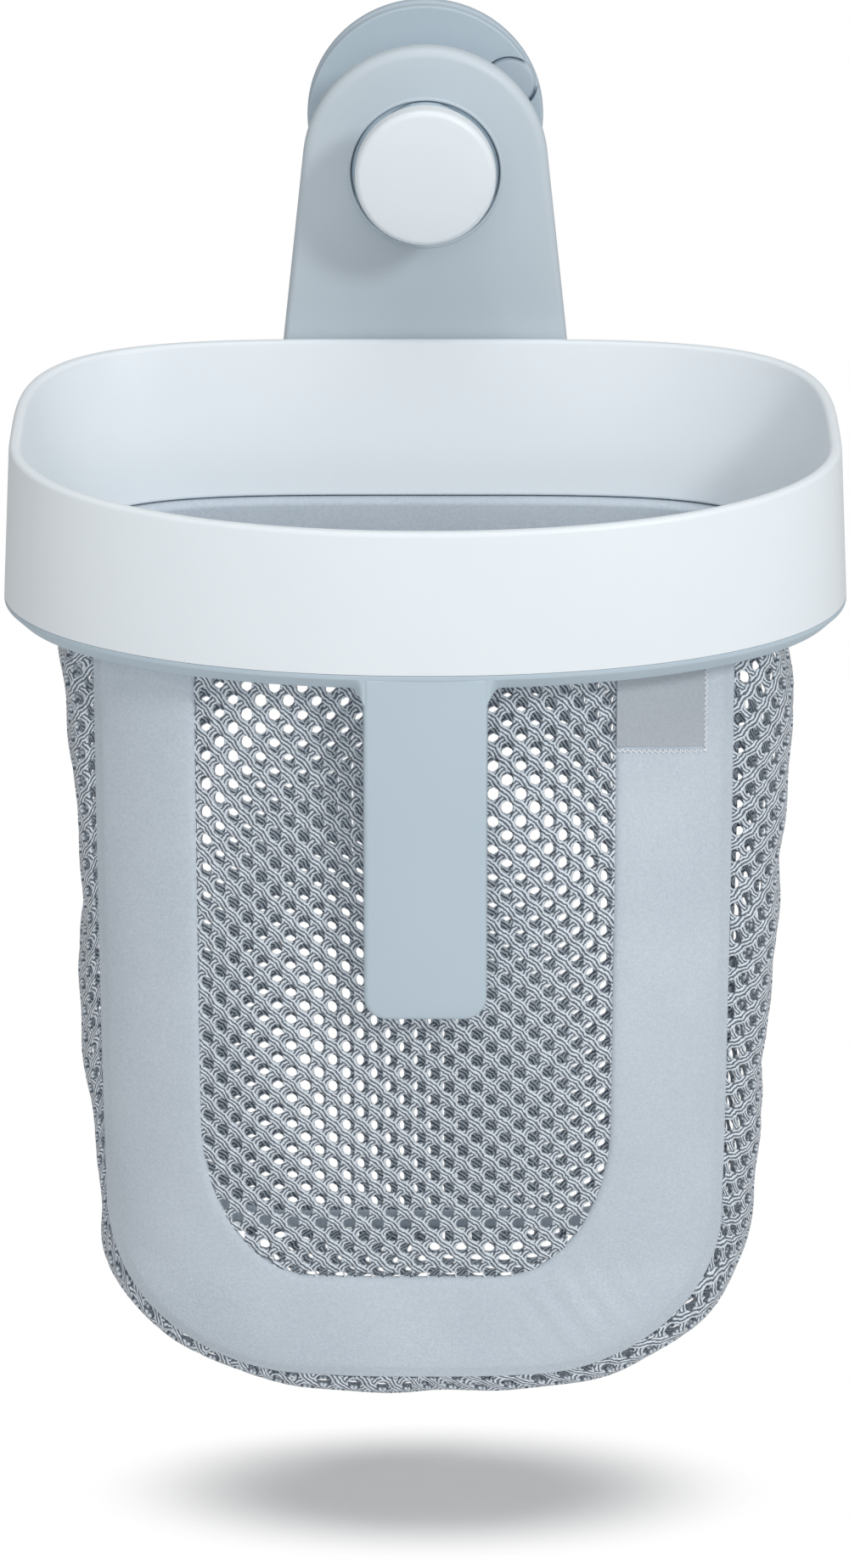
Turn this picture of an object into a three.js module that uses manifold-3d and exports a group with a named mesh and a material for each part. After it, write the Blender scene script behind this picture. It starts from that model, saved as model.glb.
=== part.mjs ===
// Bath toy organizer: a scoop with a net bag that hangs on a suction wall mount.
// Millimetres, +Z up. The wall is the plane y = 0 and the room lies towards -Y.
// "Depth" below always means the distance in front of the wall, so y = -depth.

import * as THREE from 'three';
import { mergeVertices } from 'three/addons/utils/BufferGeometryUtils.js';
import loadManifold from 'manifold-3d';

const library = await loadManifold();
library.setup();
const { Manifold, Mesh: SolidMesh } = library;

// Shared clearances
const GAP = 0.3;
const SCREW_CLEARANCE = 0.2;

// Wall mount: suction cup, cover, draw stud and knob
const CUP_RADIUS = 29.1;
const CUP_LIP_INNER_RADIUS = 24;
const CUP_RIM_THICKNESS = 2.2;
const CUP_DISC_DEPTH = 3.3;
const CUP_HOLLOW_DEPTH = 1.6;
const CUP_BOSS_RADIUS = 11;
const CUP_BOSS_DEPTH = 15;
const TAB_RADIUS = 6.4;
const TAB_REACH = 22.6;
const TAB_ANGLE_DEGREES = 24;
const TAB_DEPTH = 6.2;
const COVER_RADIUS = 28.8;
const COVER_DISC_THICKNESS = 3;
const COVER_EDGE = 1.3;
const TOWER_RADIUS = 15.5;
const TOWER_WALL = 2.5;
const NECK_WALL = 4;
const SHOULDER_RADIUS = 21;
const SHOULDER_THICKNESS = 2.5;
const PAD_CLEARANCE = 0.6;
const PAD_SETBACK = 1;
const STUD_RADIUS = 4;
const STUD_FLANGE_RADIUS = 8;
const STUD_FLANGE_DEPTH = 10;
const STUD_FLANGE_THICKNESS = 3;
const STUD_TRAVEL = 3;
const KNOB_RADIUS = 16.9;
const KNOB_THICKNESS = 6.1;
const KNOB_EDGE_RADIUS = 1.6;
const KNOB_BACK_CHAMFER = 1;
const KNOB_BOSS_RADIUS = 8.2;
const KNOB_BOSS_LENGTH = 7;
const KNOB_FACE_THICKNESS = 2.2;

// Back plate
const PLATE_DEPTH = 5.5;
const PLATE_WEB = 2.6;
const PLATE_WALL = 3;
const PLATE_EDGE_RADIUS = 2.2;
const PLATE_TOP_RADIUS = 29.8;
const PLATE_TOP_DROP = 4.1;
const PLATE_TAPER_DEGREES = 6.2;
const PLATE_BOTTOM_CLEARANCE = 1.5;
const PLATE_CORNER_RADIUS = 5;
const HANG_HOLE_RADIUS = 18.2;
const COLLAR_WIDTH = 0.6;
const COLLAR_HEIGHT = 0.3;
const KNOB_STANDOFF = 16.6;

// Rim, in plan a flat-backed D
const RIM_HALF_WIDTH = 100;
const RIM_BACK = 34;
const RIM_WIDEST = 100.3;
const RIM_FRONT = 156.8;
const RIM_FRONT_POWER = 2.1;
const RIM_BACK_POWER = 4;
const RIM_SEAM_Z = -88;
const RIM_BACK_HEIGHT = 41.5;
const RIM_FRONT_HEIGHT = 34.1;
const RIM_DRAFT = 2;
const RIM_OUTER_WALL = 3;
const RIM_INNER_WALL = 2.5;
const RIM_LIP_RADIUS = 1.3;
const RIM_INNER_WALL_INSET = 13.8;
const RIM_CHANNEL_ROOF = 9.5;
const RIM_CHANNEL_ROOF_WIDTH = 0.5;

// Lower ring and its handle
const RING_HEIGHT = 4.6;
const RING_EDGE_HEIGHT = 1.2;
const RING_CHAMFER = 3.4;
const RING_WIDTH = 14.5;
const RING_OUTER_WALL = 3;
const RING_INNER_WALL = 2.5;
const RING_FLOOR = 2.5;
const RING_INNER_RISE = 0.7;
const HANDLE_HALF_WIDTH = 14.4;
const HANDLE_LENGTH = 87;
const HANDLE_THICKNESS = 5;
const HANDLE_SETBACK = 0.2;
const HANDLE_CORNER_RADIUS = 5.5;
const HANDLE_ROOT_FILLET = 4;
const HANDLE_EDGE = 1;

// Screws
const RING_SCREW_INSET = 8.2;
const RING_SCREW_RADIUS = 1.4;
const RING_SCREW_HEAD_RADIUS = 2.9;
const RING_SCREW_HEAD_THICKNESS = 1.6;
const RING_SCREW_LENGTH = 11;
const RING_SCREW_BOSS_RADIUS = 2.8;
const RING_SCREW_BOSS_HEIGHT = 10;
const RING_SCREW_TURNS_DEGREES = [28, 90 - 36, 90 + 36, 152, 219, 321];
const RING_SCREW_SEAT = 2.8;
const RING_SCREW_PAD_WALL = 1.1;
const PLATE_SCREW_RADIUS = 1.5;
const PLATE_SCREW_HEAD_RADIUS = 3.2;
const PLATE_SCREW_HEAD_THICKNESS = 2;
const PLATE_SCREW_LENGTH = 9.8;
const PLATE_SCREW_BOSS_RADIUS = 3.6;
const PLATE_SCREW_BOSS_END = 1.5;
const PLATE_SCREW_UPPER_DROP = 15;
const PLATE_SCREW_LOWER_DROP = 32;
const PLATE_SCREW_HALF_SPAN = 22;

// Net bag
const BAG_WALL = 2;
const HEM_BEAD_HEIGHT = 3.3;
const HEM_BEAD_INSET = 11.5;
const BAG_CORNER_Z = -251.2;
const BAG_CORNER_HEIGHT = 38;
const BAG_CORNER_POWER = 2.6;
const BAG_LOW_HALF_WIDTH = 79.5;
const BAG_BOTTOM_HALF_WIDTH = 4.5;
const BAG_SIDE_BULGE = 0.7;
const BAG_FRONT_BULGE = 5.7;
const BAG_FRONT_DRAW_IN = 5.7;
const BAG_BACK_DRAW_IN = 4;
const BAG_EDGE_RADIUS = 10;
const BAG_FRONT_SQUARING = 0.6;
const PANEL_SHIFT = -2.8;
const WINDOW_SHIFT = -4.7;
const WINDOW_TOP_INSET = 50.8;
const WINDOW_LOW_INSET = 30.5;
const WINDOW_BOTTOM_Z = -253;
const WINDOW_CORNER_WIDTH = 26;
const WINDOW_CORNER_HEIGHT = 42;
const BAND_TOP_INSET = 24.8;
const BAND_LOW_INSET = 4.7;
const BAND_BOTTOM_Z = -280;
const BAND_CORNER_WIDTH = 44;
const BAND_CORNER_HEIGHT = 38;
const LABEL_INSET = 35.2;
const LABEL_WIDTH = 20.6;
const LABEL_HEIGHT = 20.5;
const LABEL_SLOPE = 3.3;
const LABEL_THICKNESS = 0.8;

// Plain openings of the nets, counted across and down
const NET_OPEN_SHARE = 0.62;
const NET_EDGE = 3;
const FRONT_NET_COLUMNS = 5;
const FRONT_NET_ROWS = 7;
const BACK_NET_COLUMNS = 7;
const BACK_NET_ROWS = 8;
const SIDE_NET_COLUMNS = 2;
const SIDE_NET_ROWS = 7;
const BOTTOM_NET_COLUMNS = 6;
const BOTTOM_NET_ROWS = 3;

// Fineness of round stretches
const ROUND_STEPS = 36;
const SMALL_ROUND_STEPS = 12;
const PLAN_STEPS = 48;
const BAG_SIDE_ROWS = 7;
const BAG_CORNER_ROWS = 6;
const FAR = 400;

// Sizes that follow from the ones above
const COVER_BACK = CUP_DISC_DEPTH + GAP;
const COVER_FACE = COVER_BACK + COVER_DISC_THICKNESS;
const BAG_CORNER_WIDTH = BAG_LOW_HALF_WIDTH - BAG_BOTTOM_HALF_WIDTH;
const WINDOW_TOP_HALF_WIDTH = RIM_HALF_WIDTH - WINDOW_TOP_INSET;
const WINDOW_LOW_HALF_WIDTH = BAG_LOW_HALF_WIDTH - WINDOW_LOW_INSET;
const BAND_TOP_HALF_WIDTH = RIM_HALF_WIDTH - BAND_TOP_INSET;
const BAND_LOW_HALF_WIDTH = BAG_LOW_HALF_WIDTH - BAND_LOW_INSET;
const PLATE_FRONT = RIM_BACK - GAP;
const PLATE_BACK = PLATE_FRONT - PLATE_DEPTH;
const PLATE_WEB_BACK = PLATE_FRONT - PLATE_WEB;
const SHOULDER_FRONT = PLATE_WEB_BACK - GAP;
const SHOULDER_BACK = SHOULDER_FRONT - SHOULDER_THICKNESS;
const KNOB_BACK = PLATE_FRONT + KNOB_STANDOFF + GAP;
const NECK_END = KNOB_BACK - GAP;
const KNOB_FACE = KNOB_BACK + KNOB_THICKNESS;
const KNOB_BORE_END = KNOB_FACE - KNOB_FACE_THICKNESS;
const STUD_BORE_RADIUS = STUD_RADIUS + GAP;
const STUD_END = KNOB_BORE_END - STUD_TRAVEL - 2 * GAP;
const NECK_BORE_RADIUS = KNOB_BOSS_RADIUS + GAP;
const NECK_RADIUS = NECK_BORE_RADIUS + NECK_WALL;
const HANG_HOLE_Z = NECK_RADIUS + GAP - HANG_HOLE_RADIUS;
const PLATE_BOTTOM_Z = RIM_SEAM_Z + PLATE_BOTTOM_CLEARANCE;
const RIM_TOP_BACK_Z = RIM_SEAM_Z + RIM_BACK_HEIGHT;
const RING_TOP_Z = RIM_SEAM_Z - GAP;
const RING_BOTTOM_Z = RIM_SEAM_Z - RING_HEIGHT;
const RING_FLOOR_Z = RING_BOTTOM_Z + RING_FLOOR;
const RING_INNER_TOP_Z = RIM_SEAM_Z + RING_INNER_RISE;
const HEM_INSET = RING_WIDTH + GAP;
const HEM_BEAD_Z = RING_INNER_TOP_Z + GAP;
const RIM_INNER_BOTTOM_Z = HEM_BEAD_Z + HEM_BEAD_HEIGHT + GAP;
const BAG_TOP_Z = RING_BOTTOM_Z - GAP;
const BAG_BOTTOM_Z = BAG_CORNER_Z - BAG_CORNER_HEIGHT;
const HANDLE_FRONT = RIM_FRONT - HANDLE_SETBACK;
const HANDLE_BOTTOM_Z = RIM_SEAM_Z - HANDLE_LENGTH;
const RING_SEAT_Z = RING_BOTTOM_Z + RING_SCREW_HEAD_THICKNESS + 2 * GAP;
const RING_PAD_TOP_Z = RING_SEAT_Z + RING_SCREW_SEAT;

// Finishes
const WHITE_PLASTIC = { color: 0xf1f2f3, roughness: 0.38, metalness: 0 };
const GREY_PLASTIC = { color: 0xb4c0ca, roughness: 0.5, metalness: 0 };
const GREY_RUBBER = { color: 0xa9b4bd, roughness: 0.6, metalness: 0 };
const STEEL = { color: 0xb9bcc0, roughness: 0.35, metalness: 1 };
const GREY_NET = { color: 0xb9bfc4, roughness: 0.85, metalness: 0 };
const GREY_CLOTH = { color: 0xc3cad1, roughness: 0.9, metalness: 0 };
const LABEL_CLOTH = { color: 0xaab3bb, roughness: 0.9, metalness: 0 };

const radians = THREE.MathUtils.degToRad;

// Signed volume of an indexed triangle mesh, negative when it faces inwards.
function signedVolume(positions, indices) {
  const a = new THREE.Vector3();
  const b = new THREE.Vector3();
  const c = new THREE.Vector3();
  let total = 0;
  for (let i = 0; i < indices.length; i += 3) {
    a.fromArray(positions, 3 * indices[i]);
    b.fromArray(positions, 3 * indices[i + 1]);
    c.fromArray(positions, 3 * indices[i + 2]);
    total += a.dot(b.cross(c)) / 6;
  }
  return total;
}

// A three.js geometry as a solid: seams merged, flat triangles dropped, faces turned outwards.
function solid(geometry) {
  const bare = geometry.clone();
  bare.deleteAttribute('normal');
  bare.deleteAttribute('uv');
  const merged = mergeVertices(bare, 1e-4);
  const positions = merged.getAttribute('position').array;
  const source = merged.getIndex().array;
  const indices = [];
  for (let i = 0; i < source.length; i += 3) {
    const [p, q, r] = [source[i], source[i + 1], source[i + 2]];
    if (p !== q && q !== r && r !== p) {
      indices.push(p, q, r);
    }
  }
  if (signedVolume(positions, indices) < 0) {
    indices.reverse();
  }
  return Manifold.ofMesh(new SolidMesh({
    numProp: 3,
    vertProperties: new Float32Array(positions),
    triVerts: new Uint32Array(indices),
  }));
}

// A solid as a named, coloured mesh.
function piece(name, body, finish) {
  const mesh = body.getMesh();
  const geometry = new THREE.BufferGeometry();
  geometry.setAttribute('position', new THREE.BufferAttribute(new Float32Array(mesh.vertProperties), 3));
  geometry.setIndex(new THREE.BufferAttribute(new Uint32Array(mesh.triVerts), 1));
  geometry.computeVertexNormals();
  const part = new THREE.Mesh(geometry, new THREE.MeshStandardMaterial(finish));
  part.name = name;
  return part;
}

// A turned solid about the knob axis, from [radius, depth] points.
function turned(profile, steps = ROUND_STEPS) {
  const points = profile.map(([radius, depth]) => new THREE.Vector2(radius, -depth));
  return solid(new THREE.LatheGeometry(points, steps));
}

// Profile points of a rounded corner between two directions, centred at [radius, depth].
function arcPoints(radius, depth, size, from, to, steps) {
  const points = [];
  for (let i = 0; i <= steps; i += 1) {
    const angle = radians(from + (to - from) * i / steps);
    points.push([radius + size * Math.cos(angle), depth + size * Math.sin(angle)]);
  }
  return points;
}

// A round bar lying front to back, between two depths.
function depthBar(radius, x, z, from, to, steps = SMALL_ROUND_STEPS) {
  const bar = new THREE.CylinderGeometry(radius, radius, to - from, steps);
  bar.translate(x, -(from + to) / 2, z);
  return solid(bar);
}

// A round upright bar between two heights.
function uprightBar(radius, x, depth, from, to, steps = SMALL_ROUND_STEPS) {
  const bar = new THREE.CylinderGeometry(radius, radius, to - from, steps);
  bar.rotateX(Math.PI / 2);
  bar.translate(x, -depth, (from + to) / 2);
  return solid(bar);
}

// An upright outline (x across, y up) pushed forward from one depth to another.
function forward(shape, from, to, edge = 0, steps = 10) {
  const geometry = new THREE.ExtrudeGeometry(shape, {
    depth: to - from - 2 * edge,
    bevelEnabled: edge > 0,
    bevelThickness: edge,
    bevelSize: edge,
    bevelOffset: -edge,
    bevelSegments: 2,
    curveSegments: steps,
  });
  geometry.translate(0, 0, from + edge);
  geometry.rotateX(Math.PI / 2);
  return solid(geometry);
}

// The rim's D plan, drawn in by a distance.
function rimPlan(inset) {
  return {
    halfWidth: RIM_HALF_WIDTH - inset,
    back: RIM_BACK + inset,
    widest: RIM_WIDEST,
    front: RIM_FRONT - inset,
    frontPower: RIM_FRONT_POWER,
    backPower: RIM_BACK_POWER,
  };
}

// A point of a D plan. A turn of 90 degrees is the front centre, 270 the back centre.
function planPoint(plan, turn) {
  const across = Math.cos(turn);
  const along = Math.sin(turn);
  const atFront = along > 0;
  const power = 2 / (atFront ? plan.frontPower : plan.backPower);
  const reach = atFront ? plan.front - plan.widest : plan.widest - plan.back;
  return {
    x: plan.halfWidth * Math.sign(across) * Math.abs(across) ** power,
    depth: plan.widest + reach * Math.sign(along) * Math.abs(along) ** power,
  };
}

// Height of the sloping rim top at a depth.
function rimTopZ(depth) {
  const share = (depth - RIM_BACK) / (RIM_FRONT - RIM_BACK);
  return RIM_TOP_BACK_Z - share * (RIM_BACK_HEIGHT - RIM_FRONT_HEIGHT);
}

// A closed ring that follows the D plan, with a section of [inset, z] points at each turn.
function ringLoft(sectionAt) {
  const positions = [];
  const indices = [];
  let count = 0;
  for (let i = 0; i < PLAN_STEPS; i += 1) {
    const turn = 2 * Math.PI * i / PLAN_STEPS;
    const section = sectionAt(turn);
    count = section.length;
    for (const [inset, z] of section) {
      const { x, depth } = planPoint(rimPlan(inset), turn);
      positions.push(x, -depth, z);
    }
  }
  for (let i = 0; i < PLAN_STEPS; i += 1) {
    const here = i * count;
    const next = ((i + 1) % PLAN_STEPS) * count;
    for (let j = 0; j < count; j += 1) {
      const up = (j + 1) % count;
      indices.push(here + j, next + j, next + up, here + j, next + up, here + up);
    }
  }
  const geometry = new THREE.BufferGeometry();
  geometry.setAttribute('position', new THREE.Float32BufferAttribute(positions, 3));
  geometry.setIndex(indices);
  return solid(geometry);
}

// Plan of the bag at a height, swollen outwards by a distance.
function bagPlan(z, swell) {
  const fall = Math.min(1, (BAG_TOP_Z - z) / (BAG_TOP_Z - BAG_CORNER_Z));
  const top = rimPlan(HEM_INSET);
  const bulge = Math.sin(Math.PI * fall);
  const widening = (BAG_LOW_HALF_WIDTH - top.halfWidth) * fall ** 2 + BAG_SIDE_BULGE * bulge;
  const drop = Math.min(1, Math.max(0, (BAG_CORNER_Z - z) / BAG_CORNER_HEIGHT));
  const turnedIn = 1 - (1 - drop ** BAG_CORNER_POWER) ** (1 / BAG_CORNER_POWER);
  const edge = Math.min(1, Math.max(0, 1 - (z - BAG_BOTTOM_Z) / BAG_EDGE_RADIUS));
  const tuck = BAG_EDGE_RADIUS * (1 - Math.sqrt(1 - edge * edge));
  return {
    halfWidth: top.halfWidth + widening - BAG_CORNER_WIDTH * turnedIn + swell,
    back: top.back + BAG_BACK_DRAW_IN * fall * fall + tuck - swell,
    widest: RIM_WIDEST,
    front: top.front + BAG_FRONT_BULGE * bulge - BAG_FRONT_DRAW_IN * fall * fall - tuck + swell,
    frontPower: RIM_FRONT_POWER + BAG_FRONT_SQUARING * fall,
    backPower: RIM_BACK_POWER,
  };
}

// The bag's whole body as a solid, swollen outwards by a distance and cut off at a top height.
function bagBody(swell, topZ) {
  const heights = [topZ];
  for (let i = 1; i < BAG_SIDE_ROWS; i += 1) {
    heights.push(BAG_TOP_Z + (BAG_CORNER_Z - BAG_TOP_Z) * i / BAG_SIDE_ROWS);
  }
  for (let i = 0; i <= BAG_CORNER_ROWS; i += 1) {
    heights.push(BAG_CORNER_Z - BAG_CORNER_HEIGHT * Math.sin(Math.PI / 2 * i / BAG_CORNER_ROWS));
  }
  const positions = [];
  const indices = [];
  heights.forEach((height) => {
    const plan = bagPlan(Math.min(height, BAG_TOP_Z), swell);
    const share = Math.max(0, (BAG_CORNER_Z - height) / BAG_CORNER_HEIGHT);
    for (let i = 0; i < PLAN_STEPS; i += 1) {
      const { x, depth } = planPoint(plan, 2 * Math.PI * i / PLAN_STEPS);
      positions.push(x, -depth, height - swell * share);
    }
  });
  for (let row = 0; row + 1 < heights.length; row += 1) {
    for (let i = 0; i < PLAN_STEPS; i += 1) {
      const next = (i + 1) % PLAN_STEPS;
      const [a, b] = [row * PLAN_STEPS + i, row * PLAN_STEPS + next];
      indices.push(a, a + PLAN_STEPS, b + PLAN_STEPS, a, b + PLAN_STEPS, b);
    }
  }
  const last = (heights.length - 1) * PLAN_STEPS;
  const topCentre = positions.length / 3;
  positions.push(0, -RIM_WIDEST, topZ);
  positions.push(0, -RIM_WIDEST, BAG_BOTTOM_Z - swell);
  for (let i = 0; i < PLAN_STEPS; i += 1) {
    const next = (i + 1) % PLAN_STEPS;
    indices.push(topCentre, i, next);
    indices.push(topCentre + 1, last + next, last + i);
  }
  const geometry = new THREE.BufferGeometry();
  geometry.setAttribute('position', new THREE.Float32BufferAttribute(positions, 3));
  geometry.setIndex(indices);
  return solid(geometry);
}

// Depth of the front or back face of a D plan at a distance from the middle.
function planDepth(plan, x, atFront) {
  const power = atFront ? plan.frontPower : plan.backPower;
  const rise = (1 - (x / plan.halfWidth) ** power) ** (1 / power);
  return plan.widest + (atFront ? plan.front - plan.widest : plan.back - plan.widest) * rise;
}

// A U-shaped panel outline, open towards the rim, grown outwards by a distance.
function panelShape(topHalf, lowHalf, bottomZ, cornerWidth, cornerHeight, shift, grow) {
  const shape = new THREE.Shape();
  const cornerZ = bottomZ + cornerHeight;
  const flat = lowHalf - cornerWidth;
  const wide = cornerWidth + grow;
  const high = cornerHeight + grow;
  shape.moveTo(shift - topHalf - grow, RIM_SEAM_Z);
  shape.lineTo(shift - lowHalf - grow, cornerZ);
  shape.absellipse(shift - flat, cornerZ, wide, high, Math.PI, 1.5 * Math.PI);
  shape.lineTo(shift + flat, bottomZ - grow);
  shape.absellipse(shift + flat, cornerZ, wide, high, 1.5 * Math.PI, 2 * Math.PI);
  shape.lineTo(shift + topHalf + grow, RIM_SEAM_Z);
  shape.closePath();
  return shape;
}

function windowShape(grow) {
  return panelShape(WINDOW_TOP_HALF_WIDTH, WINDOW_LOW_HALF_WIDTH, WINDOW_BOTTOM_Z,
    WINDOW_CORNER_WIDTH, WINDOW_CORNER_HEIGHT, WINDOW_SHIFT, grow);
}

function bandShape(shift, grow) {
  return panelShape(BAND_TOP_HALF_WIDTH, BAND_LOW_HALF_WIDTH, BAND_BOTTOM_Z,
    BAND_CORNER_WIDTH, BAND_CORNER_HEIGHT, shift, grow);
}

// The label's outline, with a lower edge that slopes down to the right.
function labelShape() {
  const right = RIM_HALF_WIDTH - LABEL_INSET;
  const left = right - LABEL_WIDTH;
  const shape = new THREE.Shape();
  shape.moveTo(left, BAG_TOP_Z);
  shape.lineTo(left, BAG_TOP_Z - LABEL_HEIGHT);
  shape.lineTo(right, BAG_TOP_Z - LABEL_HEIGHT - LABEL_SLOPE);
  shape.lineTo(right, BAG_TOP_Z);
  shape.closePath();
  return shape;
}

// Evenly spaced openings between two ends, each with its middle and its size.
function netSpans(from, to, count) {
  const pitch = (to - from) / count;
  const middles = Array.from({ length: count }, (_, i) => from + (i + 0.5) * pitch);
  return middles.map((middle) => ({ middle, size: pitch * NET_OPEN_SHARE }));
}

// One solid of separate blocks, one for each opening, with spans along x, depth and z.
function netBlocks(openings) {
  const blocks = openings.map(({ x, depth, z }) => {
    const block = new THREE.BoxGeometry(x.size, depth.size, z.size);
    block.translate(x.middle, -depth.middle, z.middle);
    return solid(block);
  });
  return blocks.reduce((whole, block) => whole.add(block));
}

// Openings of an upright panel, kept clear of the round corners of its outline.
function panelOpenings(halfWidth, bottomZ, cornerWidth, cornerHeight, shift, columns, rows, depth) {
  const openings = [];
  for (const x of netSpans(shift - halfWidth, shift + halfWidth, columns)) {
    for (const z of netSpans(bottomZ, BAG_TOP_Z, rows)) {
      const out = Math.abs(x.middle - shift) + x.size / 2 + NET_EDGE - (halfWidth - cornerWidth);
      const down = bottomZ + cornerHeight - (z.middle - z.size / 2 - NET_EDGE);
      const past = Math.hypot(Math.max(0, out) / cornerWidth, Math.max(0, down) / cornerHeight);
      if (past < 1) openings.push({ x, depth, z });
    }
  }
  return netBlocks(openings);
}

function frontOpenings() {
  const depth = { middle: RIM_WIDEST + FAR / 2, size: FAR };
  const halfWidth = Math.min(WINDOW_TOP_HALF_WIDTH, WINDOW_LOW_HALF_WIDTH);
  return panelOpenings(halfWidth, WINDOW_BOTTOM_Z, WINDOW_CORNER_WIDTH, WINDOW_CORNER_HEIGHT,
    WINDOW_SHIFT, FRONT_NET_COLUMNS, FRONT_NET_ROWS, depth);
}

function backOpenings() {
  const depth = { middle: RIM_WIDEST / 2, size: RIM_WIDEST };
  const halfWidth = Math.min(BAND_TOP_HALF_WIDTH, BAND_LOW_HALF_WIDTH);
  return panelOpenings(halfWidth, BAND_BOTTOM_Z, BAND_CORNER_WIDTH, BAND_CORNER_HEIGHT,
    0, BACK_NET_COLUMNS, BACK_NET_ROWS, depth);
}

// Openings of the gusset: right through both sides, and up through the bottom.
function gussetOpenings() {
  const low = bagPlan(BAG_CORNER_Z, 0);
  const sideBack = planDepth(low, BAND_LOW_HALF_WIDTH, false) + NET_EDGE;
  const sideFront = planDepth(low, BAND_LOW_HALF_WIDTH - PANEL_SHIFT, true) - NET_EDGE;
  const openings = [];
  for (const depth of netSpans(sideBack, sideFront, SIDE_NET_COLUMNS)) {
    for (const z of netSpans(BAG_CORNER_Z, BAG_TOP_Z, SIDE_NET_ROWS)) {
      openings.push({ x: { middle: 0, size: FAR }, depth, z });
    }
  }
  const bottomHalf = BAND_LOW_HALF_WIDTH - BAND_CORNER_WIDTH / 2;
  const upright = { middle: BAG_CORNER_Z - BAG_CORNER_HEIGHT, size: BAG_CORNER_HEIGHT };
  for (const x of netSpans(-bottomHalf, bottomHalf, BOTTOM_NET_COLUMNS)) {
    for (const depth of netSpans(low.back + BAG_EDGE_RADIUS, low.front - BAG_EDGE_RADIUS, BOTTOM_NET_ROWS)) {
      openings.push({ x, depth, z: upright });
    }
  }
  return netBlocks(openings);
}

// Places of the screws
function ringScrewPlaces() {
  return RING_SCREW_TURNS_DEGREES.map((turn) => planPoint(rimPlan(RING_SCREW_INSET), radians(turn)));
}

function plateScrewPlaces() {
  const places = [];
  for (const drop of [PLATE_SCREW_UPPER_DROP, PLATE_SCREW_LOWER_DROP]) {
    for (const side of [-1, 1]) {
      places.push({ x: side * PLATE_SCREW_HALF_SPAN, z: RIM_TOP_BACK_Z - drop });
    }
  }
  return places;
}

const PLATE_SCREW_HEAD_FRONT = PLATE_WEB_BACK - GAP;
const PLATE_SCREW_TIP = PLATE_SCREW_HEAD_FRONT + PLATE_SCREW_LENGTH;

// Suction cup with its stud pocket and release tab
function suctionCup() {
  const pocketFront = STUD_FLANGE_DEPTH + STUD_FLANGE_THICKNESS + GAP;
  const pocketBack = STUD_FLANGE_DEPTH - GAP;
  const body = turned([
    [0, CUP_HOLLOW_DEPTH],
    [CUP_LIP_INNER_RADIUS, 0],
    [CUP_RADIUS, 0],
    [CUP_RADIUS, CUP_RIM_THICKNESS],
    [CUP_RADIUS - CUP_RIM_THICKNESS / 2, CUP_DISC_DEPTH],
    [CUP_BOSS_RADIUS, CUP_DISC_DEPTH],
    [CUP_BOSS_RADIUS, CUP_BOSS_DEPTH],
    [STUD_BORE_RADIUS, CUP_BOSS_DEPTH],
    [STUD_BORE_RADIUS, pocketFront],
    [STUD_FLANGE_RADIUS + GAP, pocketFront],
    [STUD_FLANGE_RADIUS + GAP, pocketBack],
    [0, pocketBack],
  ]);
  const angle = radians(TAB_ANGLE_DEGREES);
  const tabX = TAB_REACH * Math.cos(angle);
  const tabZ = TAB_REACH * Math.sin(angle);
  return body.add(depthBar(TAB_RADIUS, tabX, tabZ, CUP_RIM_THICKNESS / 2, TAB_DEPTH, 28));
}

// Cover: flat disc with the tab's notch, hollow tower, shoulder for the plate, neck for its hole,
// and a round pad that nearly fills the hang hole
function mountCover() {
  const bore = TOWER_RADIUS - TOWER_WALL;
  const body = turned([
    [bore, COVER_BACK],
    [COVER_RADIUS, COVER_BACK],
    ...arcPoints(COVER_RADIUS - COVER_EDGE, COVER_FACE - COVER_EDGE, COVER_EDGE, 0, 90, 3),
    [TOWER_RADIUS, COVER_FACE],
    [TOWER_RADIUS, SHOULDER_BACK],
    [SHOULDER_RADIUS, SHOULDER_BACK],
    [SHOULDER_RADIUS, SHOULDER_FRONT],
    [NECK_RADIUS, SHOULDER_FRONT],
    [NECK_RADIUS, NECK_END],
    [NECK_BORE_RADIUS, NECK_END],
    [NECK_BORE_RADIUS, SHOULDER_BACK],
    [bore, SHOULDER_BACK],
    [bore, COVER_BACK],
  ]);
  const angle = radians(TAB_ANGLE_DEGREES);
  const notch = depthBar(TAB_RADIUS + 2 * GAP, TAB_REACH * Math.cos(angle), TAB_REACH * Math.sin(angle),
    COVER_BACK - 1, COVER_FACE + 1, 28);
  const padRadius = HANG_HOLE_RADIUS - PAD_CLEARANCE;
  const padFront = PLATE_FRONT - PAD_SETBACK;
  const pad = depthBar(padRadius, 0, HANG_HOLE_Z, SHOULDER_FRONT - SHOULDER_THICKNESS / 2, padFront, ROUND_STEPS);
  const padBore = depthBar(NECK_RADIUS - NECK_WALL / 2, 0, 0, 0, FAR, ROUND_STEPS);
  return body.add(pad.subtract(padBore)).subtract(notch);
}

// Draw stud: flange held in the cup, shaft in the knob
function drawStud() {
  return turned([
    [0, STUD_FLANGE_DEPTH],
    [STUD_FLANGE_RADIUS, STUD_FLANGE_DEPTH],
    [STUD_FLANGE_RADIUS, STUD_FLANGE_DEPTH + STUD_FLANGE_THICKNESS],
    [STUD_RADIUS, STUD_FLANGE_DEPTH + STUD_FLANGE_THICKNESS],
    [STUD_RADIUS, STUD_END],
    [0, STUD_END],
  ], 24);
}

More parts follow.
